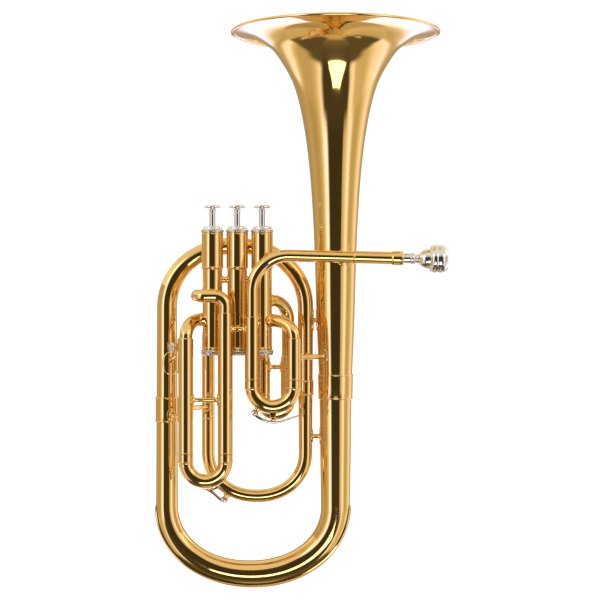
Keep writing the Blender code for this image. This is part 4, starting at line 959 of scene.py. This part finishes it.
def sleeve(node, line, length, *more):
    """An outer slide tube at the start of the line, with a ring at its mouth, narrowing to its elbow."""
    end = line.length
    proud = SLEEVE_R + RING_PROUD
    outer = [
        (0.0, SLEEVE_BORE), (0.0001, SLEEVE_R + RING_PROUD * 0.4), (0.0003, proud),
        (RING_LENGTH - 0.0003, proud), (RING_LENGTH, SLEEVE_R + RING_PROUD * 0.4),
        (RING_LENGTH + 0.0001, SLEEVE_R),
    ]
    if end > length + 0.001:
        outer += [
            (length - 0.0004, SLEEVE_R), (length, SLEEVE_R - 0.0001), (length + 0.0004, TUBE_R + 0.0001),
            (length + 0.0009, TUBE_R), (end, TUBE_R),
        ]
    else:
        outer += [(end - 0.0004, SLEEVE_R), (end - 0.0001, SLEEVE_R - 0.0003), (end, TUBE_R - 0.0002)]
    bore = [(0.0002, SLEEVE_BORE), (min(SLEEVE_BORE_DEPTH, length * 0.6), SLEEVE_BORE)]
    dress(node, tube(line, outer, bore), *more)


def crook(start, across, leg, turn, engaged):
    """An inner slide: two straight legs, the bow between them, and a collar outside each sleeve's mouth."""
    line = Centreline(start, turn[0]).run(leg).bend(across / 2, pi, turn[1], 56).run(leg)
    high = SLEEVE_R + RING_PROUD
    gap = engaged + SEAT_GAP
    foot = gap + SLIDE_COLLAR
    near = [
        (gap, TUBE_R), (gap + 0.0001, SLEEVE_R - 0.0002), (gap + 0.0003, SLEEVE_R),
        (foot - 0.0013, SLEEVE_R), (foot - 0.0012, high - 0.0001), (foot - 0.0010, high),
        (foot - 0.0003, high), (foot - 0.0001, high - 0.0002), (foot, SLEEVE_R - 0.0001),
        (foot + 0.0006, CROOK_BOW_R),
    ]
    far = [(line.length - d, r) for d, r in reversed(near)]
    return line, rod(line, [(0.0, TUBE_R), *near, *far, (line.length, TUBE_R)])


def elbowed_sleeve(node, x, low, top, index, azimuth, z, pull):
    """A front sleeve that curves over into a casing."""
    line = Centreline((x, FRONT_Y, low), Z).run(top - low)
    entry, out = port(index, azimuth, z, CASING_R + PORT_RUN / 4)
    line.reach(entry, -out, pull).run(PORT_RUN)
    sleeve(node, line, top - low, port_collar(index, azimuth, z))


def main_slide():
    """Left sleeve under the leadpipe, crook, and the right sleeve whose elbow enters the first valve."""
    low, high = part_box("main_sleeve_left")
    left = Centreline((MAIN_LEFT_X, FRONT_Y, low.z), Z).run(high.z - low.z)
    sleeve("main_sleeve_left", left, left.length)
    right = (MAIN_RIGHT_X, low.z, MAIN_ELBOW_Z)
    elbowed_sleeve("main_sleeve_right", *right, 0, ENTRY_AZIMUTH, PORT_Z, MAIN_ELBOW_PULL)
    across, leg = MAIN_RIGHT_X - MAIN_LEFT_X, MAIN_TUBE_TOP_Z - MAIN_BOW_Z
    start = (MAIN_LEFT_X, FRONT_Y, MAIN_TUBE_TOP_Z)
    line, body = crook(start, across, leg, (-Z, X), MAIN_TUBE_TOP_Z - low.z)
    seat = key_seat(line, leg, line.length - leg, MAIN_KEY_SHARES, TUBE_R, "main_key_lift")
    dress("main_crook", body, *key_saddle(seat))
    water_key("main_water_key", seat, MAIN_KEY_FINGER)


def third_slide():
    """Left leg into the third valve's side, right leg through a hook across the front of the valve."""
    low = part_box("third_sleeve_left")[0].z
    left = (THIRD_LEFT_X, low, THIRD_ELBOW_Z)
    elbowed_sleeve("third_sleeve_left", *left, 2, pi, THIRD_PORT_Z, THIRD_ELBOW_PULL)
    straight = THIRD_SLEEVE_TOP_Z - low
    right = Centreline((THIRD_RIGHT_X, FRONT_Y, low), Z).run(straight)
    right.run(THIRD_HOOK_Z - THIRD_SLEEVE_TOP_Z - LEG_BEND_R).bend(LEG_BEND_R, pi / 2, -X, 24)
    turn = tau - HOOK_AZIMUTH
    start, out = port(2, HOOK_AZIMUTH, THIRD_HOOK_Z, CASING_R)
    radius = (start.y - FRONT_Y) / (1 - cos(turn))
    right.run(right.points[-1].x - start.x - radius * sin(turn)).bend(radius, turn, Y, 36).run(0.0015)
    sleeve("third_sleeve_right", right, straight, port_collar(2, HOOK_AZIMUTH, THIRD_HOOK_Z))
    across, leg = THIRD_RIGHT_X - THIRD_LEFT_X, THIRD_TUBE_TOP_Z - THIRD_BOW_Z
    start = (THIRD_LEFT_X, FRONT_Y, THIRD_TUBE_TOP_Z)
    _, body = crook(start, across, leg, (-Z, X), THIRD_TUBE_TOP_Z - low)
    dress("third_crook", body)


def first_slide():
    """Behind the first valve: a short leg straight down, a longer one out to the right."""
    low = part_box("first_sleeve_left")[0].z
    straight = FIRST_SLEEVE_TOP_Z - low
    for node, (x, port_z, bend_r) in zip(("first_sleeve_right", "first_sleeve_left"), FIRST_LEGS):
        line = Centreline((x, 0, low), Z).run(straight).run(port_z - bend_r - FIRST_SLEEVE_TOP_Z)
        towards = Vector((VALVE_XS[0] - x, VALVE_Y, 0))
        line.bend(bend_r, pi / 2, towards, 30).run(towards.length - bend_r - CASING_R * 0.8)
        sleeve(node, line, straight, port_collar(0, atan2(-towards.y, -towards.x), port_z))
    left_x, right_x, top = FIRST_LEGS[1][0], FIRST_LEGS[0][0], FIRST_TUBE_TOP_Z
    _, body = crook((left_x, 0, top), right_x - left_x, top - FIRST_BOW_Z, (-Z, X), top - low)
    dress("first_crook", body)


def second_slide():
    """A short slide behind the second valve, level and pointing away from it."""
    x, mouth_y = VALVE_XS[1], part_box("second_sleeve_upper")[1].y
    for node, z in zip(("second_sleeve_upper", "second_sleeve_lower"), SECOND_PORTS):
        line = Centreline((x, mouth_y, z), -Y).run(mouth_y - VALVE_Y - CASING_R * 0.8)
        sleeve(node, line, line.length, port_collar(1, pi / 2, z, SLEEVE_R))
    top, low = SECOND_PORTS
    start_y = mouth_y - SECOND_ENGAGED
    _, body = crook((x, start_y, top), top - low, SECOND_BOW_Y - start_y, (Y, -Z), SECOND_ENGAGED)
    dress("second_crook", body)


def on_valve(kind, index):
    """A valve part's name, its lower and upper ends, its radius, and the foot of its axis at height 0."""
    node = f"{kind}_{index + 1}"
    low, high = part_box(node)
    return node, low.z, high.z, high.y - VALVE_Y, (VALVE_XS[index], VALVE_Y, 0)


def casing(index):
    """A bored tube, wider at the top, with fine beads at its step, its neck and its foot."""
    node, *_, base = on_valve("casing", index)
    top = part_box(f"top_cap_{index + 1}")[0].z
    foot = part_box(f"bottom_cap_{index + 1}")[1].z
    outline = [
        (BORE_R, CASING_FOOT_Z), (0.0091, CASING_FOOT_Z), (0.0091, foot + SEAT_GAP),
        (CASING_R, foot + SEAT_GAP + NEAR), (CASING_R, CASING_STEP_Z - 0.0010),
        (CASING_TOP_R, CASING_STEP_Z), (CASING_TOP_R, top - SEAT_GAP), (CASING_R, top - SEAT_GAP + NEAR),
        (CASING_R, CASING_TOP_Z), (BORE_R, CASING_TOP_Z),
    ]
    beads = [
        ring(base, Z, CASING_STEP_Z + 0.0010, CASING_TOP_R, 0.00025, 0.0012, WIDE_SIDES),
        ring(base, Z, foot + 0.0019, CASING_R, 0.0006, 0.0022, WIDE_SIDES),
        ring(base, Z, top - 0.0016, CASING_TOP_R, 0.0002, 0.0010, WIDE_SIDES),
    ]
    bars = [casing_bar(-X), casing_bar(X)] if index == 1 else []
    dress(node, lathe(outline, 0.0003, WIDE_SIDES, base), *beads, *bars)


def casing_bar(side):
    """A turned stay with two flanges between the middle casing and its neighbour."""
    pitch = VALVE_XS[0] - VALVE_XS[1]
    start, end = CASING_R * 0.9, pitch - CASING_R * 0.9
    mid = pitch / 2
    outline = [
        (0.0, start), (0.0036, start), (0.0036, mid - 0.0018), (0.0031, mid - 0.0012), (0.0030, mid),
        (0.0031, mid + 0.0012), (0.0036, mid + 0.0018), (0.0036, end), (0.0, end),
    ]
    return lathe(outline, 0.0004, TUBE_SIDES, (VALVE_XS[1], VALVE_Y, CASING_BAR_Z), side)


def knuckle(index):
    """The short tube between two casings, with a collar at either end."""
    start = Vector((VALVE_XS[index + 1], VALVE_Y, PORT_Z)) + X * CASING_R * 0.8
    line = Centreline(start, X).run(VALVE_XS[index] - VALVE_XS[index + 1] - CASING_R * 1.6)
    collars = [port_collar(index + 1, 0.0, PORT_Z), port_collar(index, pi, PORT_Z)]
    dress(f"knuckle_{index + 1}_{index + 2}", rod(line, [(0.0, TUBE_R), (line.length, TUBE_R)]), *collars)


def stem(index):
    node, low, high, _, base = on_valve("stem", index)
    outline = [
        (0.0, low), (0.0079, low), (0.0079, low + 0.0020), (STEM_R + 0.0012, low + 0.0028),
        (STEM_R, low + 0.0032), (STEM_R, high - 0.0030), (STEM_R + 0.0001, high - 0.0028),
        (STEM_R + 0.0001, high + SEAT_GAP), (0.0, high + SEAT_GAP),
    ]
    dress(node, lathe(outline, 0.0003, 40, base))


def button(index):
    """A flat finger button with a rolled edge, a hollowed underside and a shallow dish."""
    node, low, high, r, base = on_valve("button", index)
    outline = [
        (0.0, low), (STEM_R + 0.0006, low), (STEM_R + 0.0014, low + 0.0008), (r * 0.80, low + 0.0011),
        (r * 0.93, low + 0.0016), (r * 0.99, low + 0.0023), (r, low + 0.0029), (r * 0.985, low + 0.0035),
        (r * 0.93, high - 0.0003), (r * 0.86, high), (r * 0.78, high - 0.0002), (r * 0.73, high - 0.0006),
        (r * 0.40, high - 0.0008), (0.0, high - 0.0009),
    ]
    dress(node, turned([outline[0], *smooth(outline[1:], 4)], WIDE_SIDES, base))


def top_cap(index):
    """A domed screw cap with a knurled flange."""
    node, low, high, r, base = on_valve("top_cap", index)
    hole = STEM_R + SEAT_GAP
    outline = [
        (hole, high - 0.0015), (0.0070, high - 0.0015), (0.0074, low + 0.0028),
        (CASING_R + SEAT_GAP, low + 0.0028), (CASING_R + SEAT_GAP, low), (r - 0.0002, low),
        (r - 0.0002, low + 0.0008), (r - 0.0007, low + 0.0010), (r - 0.0007, low + 0.0024),
        (r - 0.0010, low + 0.0029), (0.0094, low + 0.0034), (0.0092, high - 0.0012),
        (0.0086, high - 0.0004), (0.0072, high), (STEM_R + 0.0012, high), (STEM_R + 0.0008, high - 0.0003),
        (hole, high - 0.0003),
    ]
    body = lathe(outline, 0.0003, WIDE_SIDES, base)
    dress(node, body, knurled_band(base, low + 0.0006, 0.0017, r))


def knurled_band(base, at, length, radius):
    """The grip round a cap: an open ring of rounded teeth whose inner face lies inside the cap."""
    fine = KNURLS * 4
    rows = ((-0.0012, 0.0), (-0.0003, 0.0), (0.0, 0.12), (0.0, 0.88), (-0.0003, 1.0), (-0.0012, 1.0))
    rings = []
    for inset, share in rows:
        row = []
        for i in range(fine):
            notch = 0.0002 * (0.5 - 0.5 * cos(pi * (i % 4) / 2)) if inset > -0.001 else 0.0
            turn = tau * i / fine
            r = radius + inset - notch
            row.append(Vector(base) + Vector((r * cos(turn), r * sin(turn), at + length * share)))
        rings.append(row)
    return skin(rings, loop=True)


def bottom_cap(index):
    """A shallow screw cap with a knurled band and a small vent hole in its floor."""
    node, low, high, r, base = on_valve("bottom_cap", index)
    outline = [
        (0.0015, low + 0.0002), (r * 0.55, low + 0.0002), (r * 0.80, low), (r * 0.90, low + 0.0003),
        (r - 0.0004, low + 0.0012), (r - 0.0006, low + 0.0018), (r - 0.0006, high - 0.0010),
        (r, high - 0.0008), (r, high), (0.0094, high), (0.0094, low + 0.0014), (0.0015, low + 0.0014),
    ]
    body = lathe(outline, 0.0003, WIDE_SIDES, base)
    dress(node, body, knurled_band(base, low + 0.0018, high - low - 0.0028, r - 0.0001))


def brace(node, start, end, plates, waist=BRACE_WAIST_R, end_axis=Z):
    """A turned stay between two tubes, each given as (point on the axis, radius), on plates that hug them."""
    (start, start_r), (end, end_r) = start, end
    span = (end - start).length
    ahead = (end - start).normalized()
    first = (start_r(0.0) if callable(start_r) else start_r) - 0.0006
    last = span - (end_r(0.0) if callable(end_r) else end_r) + 0.0006
    gap = last - first
    neck = min(BRACE_NECK_R, waist * 0.9)
    foot = min(BRACE_FOOT_R, gap * 0.35)
    half = [
        (foot * 1.15, 0.0), (foot, min(0.0009, gap * 0.08)), (neck * 1.15, min(0.0018, gap * 0.18)),
        (neck, min(0.0032, gap * 0.28)), (waist, gap / 2),
    ]
    curve = smooth(half + [(r, gap - d) for r, d in reversed(half[:-1])], 5)
    outline = [(0.0, first), *[(r, first + d) for r, d in curve], (0.0, last)]
    parts = [turned(outline, 32, start, ahead)]
    for (centre, radius, out, axis), (high, angle) in zip(
        ((start, start_r, ahead, Z), (end, end_r, -ahead, end_axis)), plates
    ):
        parts.append(saddle(centre, axis, out, radius, high, radians(angle)))
    dress(node, *parts)


def braces():
    """Stays between the tubes, each level and at its own height."""
    def slide(x):
        return lambda z: (Vector((x, FRONT_Y, z)), SLEEVE_R)

    def leg(x, radius):
        return lambda z: (Vector((x, 0, z)), radius)

    def to_bell(z):
        return Vector((BELL_X, 0, z)), lambda height: bell_radius(z + height)

    def bow_end(z):
        share = (z - BOW_TOP_Z) / (BELL_FOOT_Z - BOW_TOP_Z)
        return Vector((BELL_X, 0, z)), BOW_BELL_R + (BELL_FOOT_R - BOW_BELL_R) * share

    root = PIPE_BASE + PIPE_AXIS * PIPE_BRACE
    plates = ((0.0080, 17), (0.0060, 55))
    brace("bell_receiver_brace", to_bell(root.z), (root, PIPE_R), plates, 0.0026, PIPE_AXIS)
    outer_r = OUTER_JOINT_R + SEAT_GAP + FERRULE_WALL
    third_left, third_right = slide(THIRD_LEFT_X), slide(THIRD_RIGHT_X)
    near_leg, far_leg = [leg(x, SLEEVE_R) for x, *_ in reversed(FIRST_LEGS)]
    for node, start, end, *plates_and_waist in (
        ("bell_arch_brace", leg(INNER_X, INNER_TOP_R), to_bell, ((0.0110, 36), (0.0110, 18))),
        ("bell_slide_brace", slide(MAIN_RIGHT_X), to_bell, ((0.0060, 45), (0.0075, 20))),
        ("bell_bow_brace", leg(INNER_X, INNER_JOINT_R), bow_end, ((0.0065, 42), (0.0085, 20))),
        ("outer_tube_brace", leg(OUTER_X, outer_r), third_left, ((0.0062, 24), (0.0050, 40))),
        ("inner_leg_brace", third_left, leg(INNER_LEFT_X, TUBE_R), ((0.0050, 45), (0.0050, 45))),
        ("third_slide_brace", third_left, third_right, ((0.0058, 45), (0.0058, 45)), 0.0024),
        ("front_slide_brace", third_right, slide(MAIN_LEFT_X), ((0.0045, 42), (0.0045, 42))),
        ("first_slide_brace", near_leg, far_leg, ((0.0055, 42), (0.0055, 42))),
    ):
        z = middle(node).z
        brace(node, start(z), end(z), *plates_and_waist)


def lyre_holder():
    """A bored socket on a slanting stay between the outer tube and the third slide, with its thumbscrew."""
    outer = Vector((OUTER_X, 0, LYRE_OUTER_Z))
    slide = Vector((THIRD_LEFT_X, FRONT_Y, LYRE_SLIDE_Z))
    share = (LYRE_X - outer.x) / (slide.x - outer.x)
    centre = outer.lerp(slide, share)
    ahead = (slide - outer).normalized()
    span = (slide - outer).length
    arm = [
        (0.0, ARCH_LEFT_R - 0.0005), (0.0032, ARCH_LEFT_R - 0.0004), (0.0020, ARCH_LEFT_R + 0.0022),
        (0.0018, span * 0.6), (0.0018, span - SLEEVE_R - 0.0020), (0.0030, span - SLEEVE_R + 0.0004),
        (0.0, span - SLEEVE_R + 0.0005),
    ]
    base = (centre.x, centre.y, 0)
    socket = [
        (LYRE_BORE_R, LYRE_FOOT_Z + 0.004), (LYRE_BORE_R, LYRE_TOP_Z), (LYRE_R - 0.0004, LYRE_TOP_Z),
        (LYRE_R, LYRE_TOP_Z - 0.0006), (LYRE_R, LYRE_FOOT_Z + 0.0012), (LYRE_R * 0.7, LYRE_FOOT_Z),
        (0.0, LYRE_FOOT_Z),
    ]
    across = Vector((-sin(LYRE_TURN), -cos(LYRE_TURN), 0))
    screw = Vector((centre.x, centre.y, LYRE_SCREW_Z))
    boss = [(0.0, 0.0025), (0.0026, 0.0025), (0.0026, 0.0048), (0.0021, 0.0052), (0.0, 0.0052)]
    dress(
        "lyre_socket",
        lathe(arm, 0.0006, 32, outer, ahead),
        turned([(0.0, LYRE_FOOT_Z + 0.004), *rounded(socket, 0.0004)], 40, base),
        lathe(boss, 0.0003, 32, screw, across),
        ring(base, Z, LYRE_TOP_Z - 0.0016, LYRE_R, 0.0003, 0.0012),
        saddle(outer, Z, ahead, ARCH_LEFT_R, 0.0115, radians(52)),
        saddle(slide, Z, -ahead, SLEEVE_R, 0.0090, radians(58)),
    )
    reach = LYRE_HEAD_REACH
    head = [
        (0.0, LYRE_R - 0.0012), (LYRE_SCREW_R, LYRE_R - 0.0010),
        (LYRE_SCREW_R, reach - LYRE_HEAD_THICK - 0.0006), (LYRE_SCREW_R + 0.0009, reach - LYRE_HEAD_THICK),
        (LYRE_HEAD_R * 0.84, reach - LYRE_HEAD_THICK * 0.95),
        (LYRE_HEAD_R * 0.98, reach - LYRE_HEAD_THICK * 0.80), (LYRE_HEAD_R, reach - LYRE_HEAD_THICK * 0.5),
        (LYRE_HEAD_R * 0.98, reach - LYRE_HEAD_THICK * 0.2), (LYRE_HEAD_R * 0.84, reach - 0.0001),
        (LYRE_HEAD_R * 0.70, reach - 0.0003), (0.0, reach - 0.0006),
    ]
    dress("lyre_screw", lathe(head, 0.0003, 56, screw, across))


# Studio
def world_light():
    """Soft boxes left and right with a dark gap between them, a dark ground, and plain white behind."""
    world = bpy.data.worlds.new("studio")
    bpy.context.scene.world = world
    world.use_nodes = True
    tree = world.node_tree
    tree.nodes.clear()

    def calc(operation, *values):
        node = add_node(tree, "Math", dict(enumerate(values)))
        node.operation = operation
        return node.outputs[0]

    def bands(angle, stops):
        """Light by angle in degrees: warm where it is dim, and cool where it is brightest."""
        colours = []
        for degrees, value in stops:
            warm = min(max(WARM_BELOW - value, 0.0), 1.0)
            cool = max(0.0, value - COOL_FROM)
            tint = (1.0, 1 - WARMTH[0] * warm, (1 - WARMTH[1] * warm) * (1 + COOLNESS * cool))
            colours.append(((degrees + 180) / 360, [value / GLOW * share for share in tint]))
        return add_ramp(tree, calc("DIVIDE", calc("ADD", angle, 180.0), 360.0), colours)

    def blend(below, above, angle, edge):
        """One light below an angle and another above it, with a soft edge."""
        rise = add_node(tree, "MapRange", {"Value": angle, "From Min": edge[0], "From Max": edge[1]})
        rise.interpolation_type = "SMOOTHSTEP"
        return add_node(tree, "MixRGB", {0: rise.outputs["Result"], 1: below, 2: above}).outputs["Color"]

    split = add_node(tree, "SeparateXYZ", {0: add_node(tree, "TexCoord", {}).outputs["Generated"]})
    x, y, z = split.outputs
    azimuth = calc("MULTIPLY", calc("ARCTAN2", x, calc("MULTIPLY", y, -1.0)), 180 / pi)
    level = calc("MULTIPLY", calc("ARCSINE", z), 180 / pi)
    upper = blend(bands(azimuth, WALL_BANDS), bands(level, UPPER_BANDS), level, UPPER_EDGE)
    sides = blend(bands(azimuth, UNDER_BANDS), bands(azimuth, SIDE_LOWER_BANDS), level, UNDER_EDGE)
    front = bands(level, FRONT_LOWER_BANDS)
    lower = blend(front, blend(front, sides, calc("ABSOLUTE", azimuth), FRONT_EDGE), level, FOOT_EDGE)
    light = blend(lower, upper, level, HORIZON_EDGE)

    glow = add_node(tree, "Background", {"Color": light, "Strength": GLOW})
    white = add_node(tree, "Background", {"Color": (1, 1, 1, 1), "Strength": BACKDROP})
    seen = add_node(tree, "LightPath", {}).outputs["Is Camera Ray"]
    both = add_node(tree, "MixShader", {0: seen, 1: glow.outputs[0], 2: white.outputs[0]})
    add_node(tree, "OutputWorld", {0: both.outputs[0]})


def studio():
    """The light round the object, a pale floor, two panels and a level camera in front."""
    world_light()
    square = bmesh.new()
    bmesh.ops.create_grid(square, x_segments=1, y_segments=1, size=FLOOR_SIZE)
    mesh = bpy.data.meshes.new("floor")
    square.to_mesh(mesh)
    square.free()
    floor = add_object("floor", mesh)
    paper = bpy.data.materials.new("pale_paper")
    paper.use_nodes = True
    surface = paper.node_tree.nodes["Principled BSDF"].inputs
    surface["Base Color"].default_value = (0.9, 0.9, 0.9, 1)
    surface["Roughness"].default_value = 0.9
    surface["Emission Color"].default_value = (1, 1, 1, 1)
    surface["Emission Strength"].default_value = 0.9
    mesh.materials.append(paper)
    floor.visible_glossy = False
    floor.visible_shadow = False

    for name, (place, turn, size, level) in PANELS.items():
        panel = bpy.data.lights.new(name, "AREA")
        panel.shape = "RECTANGLE"
        panel.size, panel.size_y = size
        panel.energy = pi * size[0] * size[1] * level
        hung = add_object(name, panel)
        hung.location, hung.rotation_euler = place, turn
        hung.visible_camera = False

    view = bpy.data.cameras.new("camera")
    view.lens, view.sensor_width = CAMERA_LENS, SENSOR_WIDTH
    camera = add_object("camera", view)
    camera.location, camera.rotation_euler = CAMERA_AT, (pi / 2, 0, 0)
    bpy.context.scene.camera = camera
    bpy.context.scene.view_settings.view_transform = "Standard"


def carried_over():
    """Finishes for the solids that stay as they are: the pistons and springs inside the casings."""
    for name, node in frame["nodes"].items():
        if not node.hide_render:
            node.data.materials.clear()
            node.data.materials.append(FINISH[SLOT_OF[name]])


studio()
bell()
ferrule("bell_ferrule", BELL_X, BELL_FOOT_Z, BELL_FOOT_R, bell_radius(BELL_FOOT_Z + FERRULE_LENGTH / 2))
bottom_bow()
ferrule("bow_ferrule", OUTER_X, OUTER_JOINT_Z, OUTER_JOINT_R, OUTER_JOINT_R)
arch_branch()
ferrule("arch_ferrule", INNER_X, INNER_JOINT_Z, INNER_JOINT_R, INNER_JOINT_R, TUBE_SIDES, ARCH_FERRULE_LENGTH)
inner_bow()
leadpipe()
receiver()
mouthpiece()
main_slide()
third_slide()
first_slide()
second_slide()
for number in range(3):
    casing(number)
    stem(number)
    button(number)
    top_cap(number)
    bottom_cap(number)
for number in range(2):
    knuckle(number)
braces()
lyre_holder()
carried_over()
